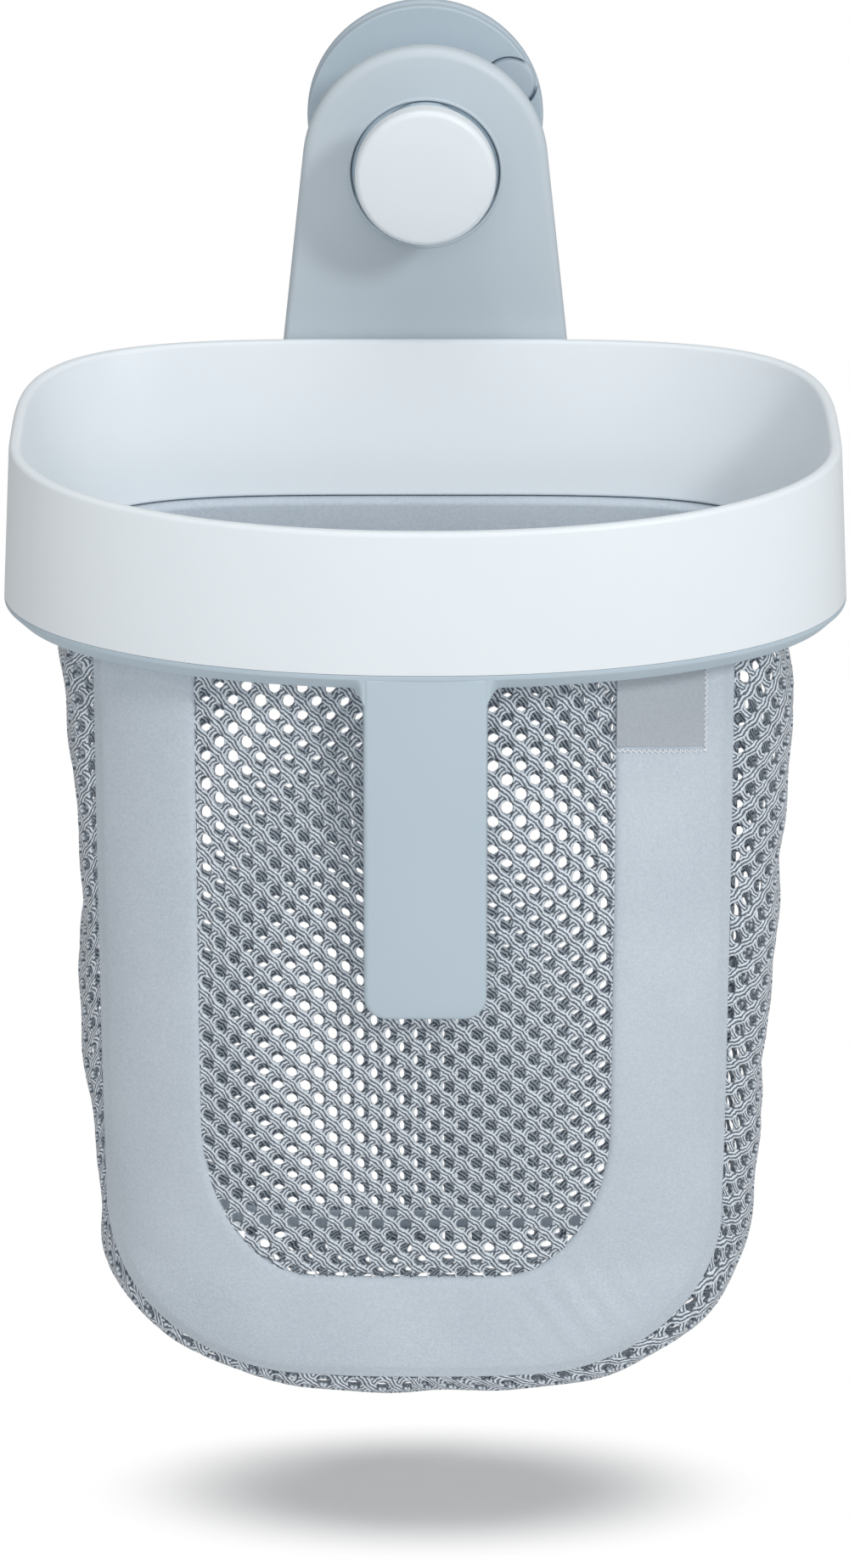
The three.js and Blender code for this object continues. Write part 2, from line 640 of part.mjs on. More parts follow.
// Knob: plain round head, boss inside the neck, blind bore for the stud
function lockKnob() {
  return turned([
    [0, KNOB_BORE_END],
    [STUD_BORE_RADIUS, KNOB_BORE_END],
    [STUD_BORE_RADIUS, KNOB_BACK - KNOB_BOSS_LENGTH],
    [KNOB_BOSS_RADIUS, KNOB_BACK - KNOB_BOSS_LENGTH],
    [KNOB_BOSS_RADIUS, KNOB_BACK],
    [KNOB_RADIUS - KNOB_BACK_CHAMFER, KNOB_BACK],
    [KNOB_RADIUS, KNOB_BACK + KNOB_BACK_CHAMFER],
    ...arcPoints(KNOB_RADIUS - KNOB_EDGE_RADIUS, KNOB_FACE - KNOB_EDGE_RADIUS, KNOB_EDGE_RADIUS, 0, 90, 4),
    [0, KNOB_FACE],
  ]);
}

// Tombstone outline of the back plate, drawn in by a distance
function plateShape(inset) {
  const taper = radians(PLATE_TAPER_DEGREES);
  const radius = PLATE_TOP_RADIUS - inset;
  const bottom = PLATE_BOTTOM_Z + inset;
  const corner = Math.max(1, PLATE_CORNER_RADIUS - inset);
  const tangentX = radius * Math.cos(taper);
  const tangentZ = radius * Math.sin(taper) - PLATE_TOP_DROP;
  const halfAt = (z) => tangentX + (tangentZ - z) * Math.tan(taper);
  const shape = new THREE.Shape();
  shape.moveTo(halfAt(bottom + corner), bottom + corner);
  shape.lineTo(tangentX, tangentZ);
  shape.absarc(0, -PLATE_TOP_DROP, radius, taper, Math.PI - taper);
  shape.lineTo(-halfAt(bottom + corner), bottom + corner);
  shape.quadraticCurveTo(-halfAt(bottom), bottom, corner - halfAt(bottom), bottom);
  shape.lineTo(halfAt(bottom) - corner, bottom);
  shape.quadraticCurveTo(halfAt(bottom), bottom, halfAt(bottom + corner), bottom + corner);
  return shape;
}

// Back plate: rounded front, hollow back, hang hole with its collar, screw holes
function backPlate() {
  const collar = new THREE.Shape();
  collar.absarc(0, HANG_HOLE_Z, HANG_HOLE_RADIUS + COLLAR_WIDTH, 0, 2 * Math.PI);
  const collarFront = PLATE_FRONT + COLLAR_HEIGHT;
  const hole = depthBar(HANG_HOLE_RADIUS, 0, HANG_HOLE_Z, 0, FAR, ROUND_STEPS);
  let body = forward(plateShape(0), PLATE_BACK, PLATE_FRONT, PLATE_EDGE_RADIUS, 16);
  body = body.subtract(forward(plateShape(PLATE_WALL), 0, PLATE_WEB_BACK, 0, 16));
  body = body.add(forward(collar, PLATE_WEB_BACK, collarFront, COLLAR_HEIGHT / 2, ROUND_STEPS));
  body = body.subtract(hole);
  for (const { x, z } of plateScrewPlaces()) {
    body = body.subtract(depthBar(PLATE_SCREW_RADIUS + GAP, x, z, PLATE_BACK, FAR));
  }
  return body;
}

// Upper rim: outer and inner walls joined at a round lip, screw bosses between them
function upperRim() {
  let body = ringLoft((turn) => {
    const top = rimTopZ(planPoint(rimPlan(0), turn).depth);
    const lipInset = RIM_DRAFT + RIM_LIP_RADIUS;
    const roof = top - RIM_CHANNEL_ROOF;
    const wallInside = RIM_DRAFT * (roof - RIM_SEAM_Z) / (top - RIM_SEAM_Z) + RIM_OUTER_WALL;
    return [
      [0, RIM_SEAM_Z],
      ...arcPoints(lipInset, top - RIM_LIP_RADIUS, RIM_LIP_RADIUS, 180, 0, 6),
      [RIM_INNER_WALL_INSET, RIM_INNER_BOTTOM_Z],
      [RIM_INNER_WALL_INSET - RIM_INNER_WALL, RIM_INNER_BOTTOM_Z],
      [wallInside + RIM_CHANNEL_ROOF_WIDTH, roof],
      [wallInside, roof],
      [RIM_OUTER_WALL, RIM_SEAM_Z],
    ];
  });
  for (const { x, depth } of ringScrewPlaces()) {
    const bossTop = RIM_SEAM_Z + RING_SCREW_BOSS_HEIGHT;
    const boss = uprightBar(RING_SCREW_BOSS_RADIUS, x, depth, RING_PAD_TOP_Z + GAP, bossTop);
    const tip = RING_SEAT_Z - GAP + RING_SCREW_LENGTH;
    const bore = uprightBar(RING_SCREW_RADIUS + SCREW_CLEARANCE, x, depth, RING_BOTTOM_Z, tip + GAP);
    body = body.add(boss).subtract(bore);
  }
  for (const { x, z } of plateScrewPlaces()) {
    const bossBack = RIM_BACK + RIM_DRAFT + RIM_OUTER_WALL / 2;
    const boss = depthBar(PLATE_SCREW_BOSS_RADIUS, x, z, bossBack, PLATE_SCREW_TIP + PLATE_SCREW_BOSS_END);
    const bore = depthBar(PLATE_SCREW_RADIUS + SCREW_CLEARANCE, x, z, PLATE_BACK, PLATE_SCREW_TIP + GAP);
    body = body.add(boss).subtract(bore);
  }
  return body;
}

// Outline of the handle with its flared root
function handleShape() {
  const half = HANDLE_HALF_WIDTH;
  const fillet = HANDLE_ROOT_FILLET;
  const round = HANDLE_CORNER_RADIUS;
  const root = RING_BOTTOM_Z;
  const shape = new THREE.Shape();
  shape.moveTo(-half - fillet, root);
  shape.absarc(-half - fillet, root - fillet, fillet, Math.PI / 2, 0, true);
  shape.lineTo(-half, HANDLE_BOTTOM_Z + round);
  shape.absarc(round - half, HANDLE_BOTTOM_Z + round, round, Math.PI, 1.5 * Math.PI);
  shape.lineTo(half - round, HANDLE_BOTTOM_Z);
  shape.absarc(half - round, HANDLE_BOTTOM_Z + round, round, 1.5 * Math.PI, 2 * Math.PI);
  shape.lineTo(half, root - fillet);
  shape.absarc(half + fillet, root - fillet, fillet, Math.PI, Math.PI / 2, true);
  shape.lineTo(half + fillet, RING_TOP_Z);
  shape.lineTo(-half - fillet, RING_TOP_Z);
  return shape;
}

// Lower ring: a channel that closes the rim from below, with the handle at its front
function lowerRing() {
  let body = ringLoft(() => [
    [0, RING_TOP_Z],
    [0, RIM_SEAM_Z - RING_EDGE_HEIGHT],
    [RING_CHAMFER, RING_BOTTOM_Z],
    [RING_WIDTH, RING_BOTTOM_Z],
    [RING_WIDTH, RING_INNER_TOP_Z],
    [RING_WIDTH - RING_INNER_WALL, RING_INNER_TOP_Z],
    [RING_WIDTH - RING_INNER_WALL, RING_FLOOR_Z],
    [RING_CHAMFER + 1, RING_FLOOR_Z],
    [RING_OUTER_WALL, RIM_SEAM_Z - RING_EDGE_HEIGHT],
    [RING_OUTER_WALL, RING_TOP_Z],
  ]);
  for (const { x, depth } of ringScrewPlaces()) {
    const padRadius = RING_SCREW_HEAD_RADIUS + RING_SCREW_PAD_WALL;
    const pad = uprightBar(padRadius, x, depth, RING_FLOOR_Z - RING_FLOOR / 2, RING_PAD_TOP_Z);
    const seat = uprightBar(RING_SCREW_HEAD_RADIUS + GAP, x, depth, RING_BOTTOM_Z - 1, RING_SEAT_Z);
    const bore = uprightBar(RING_SCREW_RADIUS + GAP, x, depth, RING_BOTTOM_Z - 1, RING_PAD_TOP_Z + 1);
    body = body.add(pad).subtract(seat).subtract(bore);
  }
  const handle = forward(handleShape(), HANDLE_FRONT - HANDLE_THICKNESS, HANDLE_FRONT, HANDLE_EDGE, 8);
  return body.add(handle);
}

// Hem: a bead resting on the ring's inner wall and the tape that the panels are sewn to
function bagHem() {
  return ringLoft(() => [
    [HEM_BEAD_INSET, HEM_BEAD_Z],
    [HEM_BEAD_INSET, HEM_BEAD_Z + HEM_BEAD_HEIGHT],
    [HEM_INSET + BAG_WALL, HEM_BEAD_Z + HEM_BEAD_HEIGHT],
    [HEM_INSET + BAG_WALL, RING_BOTTOM_Z],
    [HEM_INSET, RING_BOTTOM_Z],
    [HEM_INSET, HEM_BEAD_Z],
  ]);
}

// Bag panels, cut from one shell: front window, front band, gusset, back, and the label
function bagPanels() {
  const shell = bagBody(0, BAG_TOP_Z).subtract(bagBody(-BAG_WALL, BAG_TOP_Z + 10));
  const windowCut = forward(windowShape(0), RIM_WIDEST, FAR);
  const windowGap = forward(windowShape(GAP), RIM_WIDEST, FAR);
  const bandCut = forward(bandShape(PANEL_SHIFT, 0), RIM_WIDEST, FAR);
  const bandGap = forward(bandShape(PANEL_SHIFT, GAP), RIM_WIDEST, FAR);
  const backCut = forward(bandShape(0, 0), 0, RIM_WIDEST);
  const backGap = forward(bandShape(0, GAP), 0, RIM_WIDEST);
  const labelSkin = bagBody(GAP + LABEL_THICKNESS, BAG_TOP_Z).subtract(bagBody(GAP, BAG_TOP_Z + 10));
  return {
    frontMesh: shell.intersect(windowCut).subtract(frontOpenings()),
    frontBand: shell.intersect(bandCut).subtract(windowGap),
    gusset: shell.subtract(bandGap).subtract(backGap).subtract(gussetOpenings()),
    backMesh: shell.intersect(backCut).subtract(backOpenings()),
    label: labelSkin.intersect(forward(labelShape(), RIM_WIDEST, FAR)),
  };
}

// A pan-head screw lying front to back, and one standing upright
function plateScrew({ x, z }) {
  const headBack = PLATE_SCREW_HEAD_FRONT - PLATE_SCREW_HEAD_THICKNESS;
  const head = depthBar(PLATE_SCREW_HEAD_RADIUS, x, z, headBack, PLATE_SCREW_HEAD_FRONT);
  return head.add(depthBar(PLATE_SCREW_RADIUS, x, z, PLATE_SCREW_HEAD_FRONT - 0.5, PLATE_SCREW_TIP, 12));
}

function ringScrew({ x, depth }) {
  const headTop = RING_SEAT_Z - GAP;
  const head = uprightBar(RING_SCREW_HEAD_RADIUS, x, depth, headTop - RING_SCREW_HEAD_THICKNESS, headTop);
  return head.add(uprightBar(RING_SCREW_RADIUS, x, depth, headTop - 0.5, headTop + RING_SCREW_LENGTH, 12));
}

// Assembly
const wallMount = new THREE.Group();
wallMount.add(piece('suction_cup', suctionCup(), GREY_RUBBER));
wallMount.add(piece('mount_cover', mountCover(), GREY_PLASTIC));
wallMount.add(piece('draw_stud', drawStud(), STEEL));
wallMount.add(piece('lock_knob', lockKnob(), WHITE_PLASTIC));

const frame = new THREE.Group();
frame.add(piece('back_plate', backPlate(), GREY_PLASTIC));
frame.add(piece('upper_rim', upperRim(), WHITE_PLASTIC));
frame.add(piece('lower_ring', lowerRing(), GREY_PLASTIC));
plateScrewPlaces().forEach((place, i) => {
  frame.add(piece(`plate_screw_${i + 1}`, plateScrew(place), STEEL));
});
ringScrewPlaces().forEach((place, i) => {
  frame.add(piece(`ring_screw_${i + 1}`, ringScrew(place), STEEL));
});

const bag = new THREE.Group();
const panels = bagPanels();
bag.add(piece('bag_hem', bagHem(), GREY_CLOTH));
bag.add(piece('bag_front_mesh', panels.frontMesh, GREY_NET));
bag.add(piece('bag_front_band', panels.frontBand, GREY_CLOTH));
bag.add(piece('bag_gusset', panels.gusset, GREY_NET));
bag.add(piece('bag_back_mesh', panels.backMesh, GREY_NET));
bag.add(piece('bag_label', panels.label, LABEL_CLOTH));

const organizer = new THREE.Group();
organizer.add(wallMount, frame, bag);

export default organizer;
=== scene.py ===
"""Looks of a wall-hung bath toy organizer: suction mount, hanging scoop and net bag.

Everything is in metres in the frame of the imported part: the wall is the plane y = 0, the room lies
towards -Y and +Z is up. A "depth" is a distance in front of the wall, so y = -depth.
"""

import logging
import math
from dataclasses import dataclass, replace
from enum import Enum
from functools import cache
from typing import Any, Callable, Optional, Sequence

import bmesh
import bpy
import numpy as np
from bpy.types import Material, Node, NodeSocket, NodeTree, Object
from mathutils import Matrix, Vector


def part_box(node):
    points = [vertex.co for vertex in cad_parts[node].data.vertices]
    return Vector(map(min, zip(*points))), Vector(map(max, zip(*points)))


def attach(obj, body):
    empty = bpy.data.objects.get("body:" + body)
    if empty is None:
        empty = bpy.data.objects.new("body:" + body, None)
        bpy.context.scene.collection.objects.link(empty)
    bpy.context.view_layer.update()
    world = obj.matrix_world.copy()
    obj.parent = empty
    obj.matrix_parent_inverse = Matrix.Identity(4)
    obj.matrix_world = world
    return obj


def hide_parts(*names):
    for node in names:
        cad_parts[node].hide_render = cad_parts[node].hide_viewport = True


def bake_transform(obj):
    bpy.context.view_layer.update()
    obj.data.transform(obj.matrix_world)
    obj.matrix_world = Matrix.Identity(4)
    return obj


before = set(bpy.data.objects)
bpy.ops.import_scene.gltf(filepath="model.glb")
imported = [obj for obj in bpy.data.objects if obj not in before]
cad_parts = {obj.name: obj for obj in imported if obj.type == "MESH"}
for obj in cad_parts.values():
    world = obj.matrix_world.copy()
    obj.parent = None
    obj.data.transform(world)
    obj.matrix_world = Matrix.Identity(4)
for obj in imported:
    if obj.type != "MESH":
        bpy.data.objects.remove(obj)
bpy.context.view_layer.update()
LOG = logging.getLogger("organizer")

Array = np.ndarray
Point2 = tuple[float, float]
Point3 = tuple[float, float, float]
# A corner of an outline: its two coordinates and the radius that it is rounded to
Corner = tuple[float, float, float]
# Red, green and blue from 0 to 255
Colour = tuple[int, int, int]
# The distance that touching pieces keep
GAP = 0.0003
# Mesh attributes that the nets, the stitches and their finishes read
FLAT_ATTRIBUTE = "flat"
EDGE_ATTRIBUTE = "edge"
WEAVE_ATTRIBUTE = "weave"
RUN_ATTRIBUTE = "run"
# The side of the square that holds the flat pattern of any net
FLAT_SPAN = 0.8
FULL_TURN = 2.0 * math.pi
# Edges above this angle stay sharp where a piece names no other
SHARP_DEGREES = 40.0
# Places of a Mix node's colour sockets, which share their names with others
MIX_FIRST, MIX_SECOND, MIX_RESULT = 6, 7, 2
# Sizes that count as nothing
TINY = 1e-9
TINIEST = 1e-12


class Body(Enum):
    """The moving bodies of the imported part."""

    WALL_MOUNT = "wall_mount"
    SCOOP = "scoop"
    KNOB = "knob"
    STUD = "stud"


class Slot(Enum):
    """The record's material slots."""

    RUBBER = "grey_rubber"
    GREY = "grey_plastic"
    WHITE = "white_plastic"
    STEEL = "steel"
    CLOTH = "grey_cloth"
    NET = "grey_net"
    LABEL = "label_cloth"


def linear(srgb: Sequence[int]) -> tuple[float, float, float, float]:
    """Turns an 8-bit sRGB colour into a linear RGBA colour.

    Args:
        srgb: Red, green and blue from 0 to 255.

    Returns:
        The linear colour with full alpha.
    """
    shares = [value / 255 for value in srgb]
    values = [s / 12.92 if s <= 0.04045 else ((s + 0.055) / 1.055) ** 2.4 for s in shares]
    return (values[0], values[1], values[2], 1.0)


class NodeSketch:
    """Adds nodes to a node tree and links them in one step."""

    def __init__(self, tree: NodeTree) -> None:
        """Keeps the tree to draw in."""
        self.tree = tree

    def add(self, kind: str, sockets: Optional[dict] = None, **settings: Any) -> Node:
        """Adds one node.

        Args:
            kind: The node's Blender type name.
            sockets: Input name or index to a value or to another node's output.
            settings: The node's own properties.

        Returns:
            The new node.
        """
        node = self.tree.nodes.new(kind)
        for name, value in settings.items():
            setattr(node, name, value)
        self.fill(node, sockets or {})
        return node

    def feed(self, socket: NodeSocket, value: Any) -> None:
        """Links an output to an input socket, or sets the socket's own value."""
        if isinstance(value, NodeSocket):
            self.tree.links.new(value, socket)
        else:
            socket.default_value = value

    def math(self, operation: str, first: Any, second: Any = 0.0, clamp: bool = False) -> Any:
        """Adds a Math node and returns its output."""
        node = self.add("ShaderNodeMath", {0: first, 1: second}, operation=operation, use_clamp=clamp)
        return node.outputs[0]

    def mix_colour(self, factor: Any, first: Any, second: Any) -> Any:
        """Adds a colour Mix node and returns its colour output."""
        sockets = {0: factor, MIX_FIRST: first, MIX_SECOND: second}
        return self.add("ShaderNodeMix", sockets, data_type="RGBA").outputs[MIX_RESULT]

    def fill(self, node: Node, values: dict) -> None:
        """Links or sets several inputs of a node by their names or indices."""
        for key, value in values.items():
            self.feed(node.inputs[key], value)

    def noise(self, place: Any, scale: Any, detail: float) -> Any:
        """Adds a Noise Texture node and returns its value."""
        return self.add("ShaderNodeTexNoise", {"Vector": place, "Scale": scale, "Detail": detail}).outputs[0]

    def centred(self, value: Any, size: float) -> Any:
        """Moves a value from around a half to around zero and scales it."""
        return self.math("MULTIPLY", self.math("SUBTRACT", value, 0.5), size)

    def bump(self, height: Any, strength: float, distance: float) -> Any:
        """Adds a Bump node and returns its normal."""
        sockets = {"Height": height, "Strength": strength, "Distance": distance}
        return self.add("ShaderNodeBump", sockets).outputs[0]

    def group(self, tree: NodeTree, values: dict[str, Any]) -> Any:
        """Adds a shader group with its inputs filled and returns its outputs."""
        return self.add("ShaderNodeGroup", values, node_tree=tree).outputs

    def vector_math(self, operation: str, first: Any, second: Any) -> Any:
        """Adds a Vector Math node and returns its vector."""
        return self.add("ShaderNodeVectorMath", {0: first, 1: second}, operation=operation).outputs[0]

    def position(self) -> Any:
        """Adds a Position node and returns its output."""
        return self.add("GeometryNodeInputPosition").outputs[0]

    def named(self, name: str, data_type: str = "FLOAT_VECTOR") -> Any:
        """Adds a Named Attribute node and returns its value."""
        return self.add("GeometryNodeInputNamedAttribute", {"Name": name}, data_type=data_type).outputs[0]

    def scatter(self, points: Any, source: Any, turn: Any = None) -> Any:
        """Adds nodes that set an object on each point.

        Args:
            points: The points' geometry.
            source: The object to set on them.
            turn: How each copy is turned, if it is.

        Returns:
            The instances.
        """
        shape = self.add("GeometryNodeObjectInfo", {"Object": source}).outputs["Geometry"]
        sockets = {"Points": points, "Instance": shape}
        if turn is not None:
            sockets["Rotation"] = turn
        return self.add("GeometryNodeInstanceOnPoints", sockets).outputs[0]

    def close(self, geometry: Any, finish: Any) -> NodeTree:
        """Ends a Geometry Nodes tree with real meshes that carry a finish.

        Args:
            geometry: The geometry to put out.
            finish: The material's socket.

        Returns:
            The finished tree.
        """
        real = self.add("GeometryNodeRealizeInstances", {"Geometry": geometry})
        dressed = self.add("GeometryNodeSetMaterial", {"Geometry": real.outputs[0], "Material": finish})
        self.add("NodeGroupOutput", {"Geometry": dressed.outputs[0]})
        return self.tree


def new_group(name: str, inputs: dict[str, str], outputs: dict[str, str],
              kind: str = "ShaderNodeTree") -> tuple[NodeSketch, Any]:
    """Makes an empty node group with named sockets.

    Args:
        name: The group's name.
        inputs: The kind of each named input, such as Float.
        outputs: The kind of each named output.
        kind: ShaderNodeTree or GeometryNodeTree.

    Returns:
        A sketch for drawing inside the group, and what its inputs give.
    """
    tree = bpy.data.node_groups.new(name, kind)
    for side, sockets in (("INPUT", inputs), ("OUTPUT", outputs)):
        for label, value in sockets.items():
            tree.interface.new_socket(label, in_out=side, socket_type="NodeSocket" + value)
    sketch = NodeSketch(tree)
    return sketch, sketch.add("NodeGroupInput").outputs


def new_tree(name: str, inputs: dict[str, str]) -> tuple[NodeSketch, Any]:
    """Makes an empty Geometry Nodes tree that puts out one geometry."""
    return new_group(name, inputs, {"Geometry": "Geometry"}, "GeometryNodeTree")


@cache
def moulded_grain_group() -> NodeTree:
    """Makes the fine grain of moulded plastic: a tone, a roughness and a height.

    Returns:
        The shader node group.
    """
    sketch, given = new_group(
        "moulded_grain",
        {"Colour": "Color", "Shade": "Color", "Roughness": "Float"},
        {"Colour": "Color", "Roughness": "Float", "Height": "Float"},
    )
    cloud_scale, grain_scale, smear_scale = 22.0, 2400.0, 90.0
    gloss_spread, smear_height = 0.12, 0.6
    place = sketch.add("ShaderNodeTexCoord").outputs["Object"]
    smear = sketch.noise(place, smear_scale, detail=4.0)
    cloud = sketch.noise(place, cloud_scale, detail=3.0)
    grain = sketch.noise(place, grain_scale, detail=2.0)
    tone = sketch.mix_colour(cloud, given["Shade"], given["Colour"])
    rough = sketch.math("ADD", given["Roughness"], sketch.centred(smear, gloss_spread), clamp=True)
    height = sketch.math("ADD", grain, sketch.math("MULTIPLY", smear, smear_height))
    sketch.add("NodeGroupOutput", {"Colour": tone, "Roughness": rough, "Height": height})
    return sketch.tree


@cache
def knit_threads_group() -> NodeTree:
    """Makes the threads of a knitted net: bundles that cross on both diagonals between the holes.

    Returns:
        The shader node group, with a height and a thread brightness that paints light and shade: painted
        highlight on the threads, painted shade between them, painted glints and a painted highlight round
        each hole.
    """
    sketch, given = new_group(
        "knit_threads",
        {"Column Pitch": "Float", "Row Pitch": "Float", "Threads": "Float"},
        {"Thread": "Float", "Height": "Float"},
    )
    wobble_scale, speck_scale = 900.0, 3600.0
    lane_wobble, lane_bend = 0.16, 0.22
    bundle_half, bundle_edge = 0.27, 12.0
    contrast, glint_speck_size = 2.4, 1.2
    loop_distance, loop_brightness, loop_fade = 0.27, 0.9, 14.0
    weave = sketch.add("ShaderNodeAttribute", attribute_name=WEAVE_ATTRIBUTE).outputs["Vector"]
    split = sketch.add("ShaderNodeSeparateXYZ", {0: weave})
    across = sketch.math("DIVIDE", split.outputs[0], sketch.math("MULTIPLY", given["Column Pitch"], 2.0))
    down = sketch.math("DIVIDE", split.outputs[1], given["Row Pitch"])
    bundles = []
    for operation in ("SUBTRACT", "ADD"):
        phase = sketch.math("FRACT", sketch.math(operation, across, down))
        bundles.append(sketch.math("SUBTRACT", phase, 0.5))
    shift = sketch.centred(sketch.noise(weave, wobble_scale, detail=2.0), lane_wobble)
    waves = []
    for own, other in (bundles, bundles[::-1]):
        bend = sketch.math("MULTIPLY", sketch.math("ABSOLUTE", other), lane_bend)
        lane = sketch.math("ADD", sketch.math("ADD", own, shift), bend)
        turn = sketch.math("MULTIPLY", sketch.math("MULTIPLY", lane, given["Threads"]), FULL_TURN)
        waves.append(sketch.math("SINE", turn))
    nearer = sketch.math("SUBTRACT", bundle_half, sketch.math("ABSOLUTE", bundles[0]))
    choice = sketch.math("ADD", sketch.math("MULTIPLY", nearer, bundle_edge), 0.5, clamp=True)
    blend = sketch.math("MULTIPLY", sketch.math("SUBTRACT", waves[0], waves[1]), choice)
    wave = sketch.math("ADD", sketch.math("MULTIPLY", sketch.math("ADD", waves[1], blend), 0.5), 0.5)
    # Crisp stripes: painted highlight on the threads and painted shade between them
    crisp = sketch.math("ADD", sketch.centred(wave, contrast), 0.5)
    # Fine bright specks: painted glints on the threads
    glint_specks = sketch.centred(sketch.noise(weave, speck_scale, detail=2.0), glint_speck_size)
    # A bright ring round each hole: painted highlight on the thread loop
    from_hole = [sketch.math("SUBTRACT", 0.5, sketch.math("ABSOLUTE", bundle)) for bundle in bundles]
    off_loop = sketch.math("SUBTRACT", sketch.math("MAXIMUM", *from_hole), loop_distance)
    fade = sketch.math("MULTIPLY", sketch.math("ABSOLUTE", off_loop), loop_fade)
    loop = sketch.math("SUBTRACT", loop_brightness, fade, clamp=True)
    thread = sketch.math("MAXIMUM", sketch.math("ADD", crisp, glint_specks, clamp=True), loop)
    sketch.add("NodeGroupOutput", {"Thread": thread, "Height": wave})
    return sketch.tree


@cache
def woven_cloth_group() -> NodeTree:
    """Makes a fine twill: thin diagonal ribs with a soft heathered tone.

    Returns:
        The shader node group, with a tone and a height.
    """
    sketch, given = new_group(
        "woven_cloth",
        {"Rib Pitch": "Float", "Heather Scale": "Float"},
        {"Tone": "Float", "Height": "Float"},
    )
    cloud_scale, cloud_tone = 34.0, 0.5
    rib_height, cross_rib_share, rib_tone, heather_height = 0.25, 0.5, 0.35, 0.8
    place = sketch.add("ShaderNodeTexCoord").outputs["Object"]
    split = sketch.add("ShaderNodeSeparateXYZ", {0: place})
    ribs = []
    for operation in ("ADD", "SUBTRACT"):
        distance = sketch.math(operation, split.outputs[0], split.outputs[2])
        turn = sketch.math("DIVIDE", distance, given["Rib Pitch"])
        ribs.append(sketch.math("SINE", sketch.math("MULTIPLY", turn, FULL_TURN)))
    heather = sketch.noise(place, given["Heather Scale"], detail=5.0)
    cloud = sketch.centred(sketch.noise(place, cloud_scale, detail=2.0), cloud_tone)
    both = sketch.math("ADD", ribs[0], sketch.math("MULTIPLY", ribs[1], cross_rib_share))
    weave = sketch.math("MULTIPLY", both, rib_height)
    height = sketch.math("ADD", weave, sketch.math("MULTIPLY", heather, heather_height))
    tone = sketch.math("ADD", sketch.math("MULTIPLY", weave, rib_tone), heather)
    tone = sketch.math("ADD", tone, cloud)
    sketch.add("NodeGroupOutput", {"Tone": tone, "Height": height})
    return sketch.tree


@dataclass(frozen=True)
class Finish:
    """A named finish that becomes one material."""

    name: str

    def inputs(self, sketch: NodeSketch) -> dict[str, Any]:
        """Returns what goes into the shader's inputs. Each finish gives its own."""
        raise NotImplementedError

    def build(self) -> Material:
        """Makes the material.

        Returns:
            The new material.
        """
        material, sketch, shader = new_material(self.name)
        sketch.fill(shader, self.inputs(sketch))
        return material


@dataclass(frozen=True)
class PlasticFinish(Finish):
    """A moulded plastic or rubber with a fine grain."""

    colour: Colour
    shade: Colour
    roughness: float
    bump: float
    scatter: float = 0.0
    bump_height: float = 0.0001
    scatter_reach: float = 0.002

    def inputs(self, sketch: NodeSketch) -> dict[str, Any]:
        """Returns the shader's inputs."""
        grain = sketch.group(moulded_grain_group(), {
            "Colour": linear(self.colour), "Shade": linear(self.shade), "Roughness": self.roughness})
        return {
            "Base Color": grain["Colour"],
            "Roughness": grain["Roughness"],
            "Normal": sketch.bump(grain["Height"], self.bump, self.bump_height),
            "Subsurface Weight": self.scatter,
            "Subsurface Radius": (self.scatter_reach,) * 3,
        }


@dataclass(frozen=True)
class NetFinish(Finish):
    """A knitted net of grey threads, coloured with painted highlights on the threads and painted shade
    between them.
    """

    # The net's colour runs from painted shade between the threads (dark) to painted highlight on them (light)
    dark: Colour
    light: Colour
    column_pitch: float
    row_pitch: float
    threads: float
    roughness: float = 0.55
    bump: float = 0.6
    bump_height: float = 0.0002
    sheen: float = 0.25

    def inputs(self, sketch: NodeSketch) -> dict[str, Any]:
        """Returns the shader's inputs."""
        knit = sketch.group(knit_threads_group(), {
            "Column Pitch": self.column_pitch, "Row Pitch": self.row_pitch, "Threads": self.threads})
        return {
            # Painted highlight on the threads and painted shade between them, mixed by the thread brightness
            "Base Color": sketch.mix_colour(knit["Thread"], linear(self.dark), linear(self.light)),
            "Roughness": self.roughness,
            "Normal": sketch.bump(knit["Height"], self.bump, self.bump_height),
            "Sheen Weight": self.sheen,
        }


@dataclass(frozen=True)
class ClothFinish(Finish):
    """A fine woven cloth with a heathered tone."""

    dark: Colour
    light: Colour
    rib_pitch: float
    heather_scale: float
    bump: float
    bump_height: float = 0.00015
    roughness: float = 0.85
    sheen: float = 0.3
    sheen_roughness: float = 0.5

    def inputs(self, sketch: NodeSketch) -> dict[str, Any]:
        """Returns the shader's inputs."""
        cloth = sketch.group(woven_cloth_group(), {
            "Rib Pitch": self.rib_pitch, "Heather Scale": self.heather_scale})
        return {
            "Base Color": sketch.mix_colour(cloth["Tone"], linear(self.dark), linear(self.light)),
            "Roughness": self.roughness,
            "Normal": sketch.bump(cloth["Height"], self.bump, self.bump_height),
            "Sheen Weight": self.sheen,
            "Sheen Roughness": self.sheen_roughness,
        }


@dataclass(frozen=True)
class SteelFinish(Finish):
    """Plain bright steel of small screws and the stud."""

    colour: Colour
    roughness: float
    shade_share: float = 0.9

    def inputs(self, sketch: NodeSketch) -> dict[str, Any]:
        """Returns the shader's inputs."""
        grain = sketch.group(moulded_grain_group(), {
            "Colour": linear(self.colour), "Roughness": self.roughness,
            "Shade": linear([value * self.shade_share for value in self.colour])})
        return {"Base Color": grain["Colour"], "Roughness": grain["Roughness"], "Metallic": 1.0}


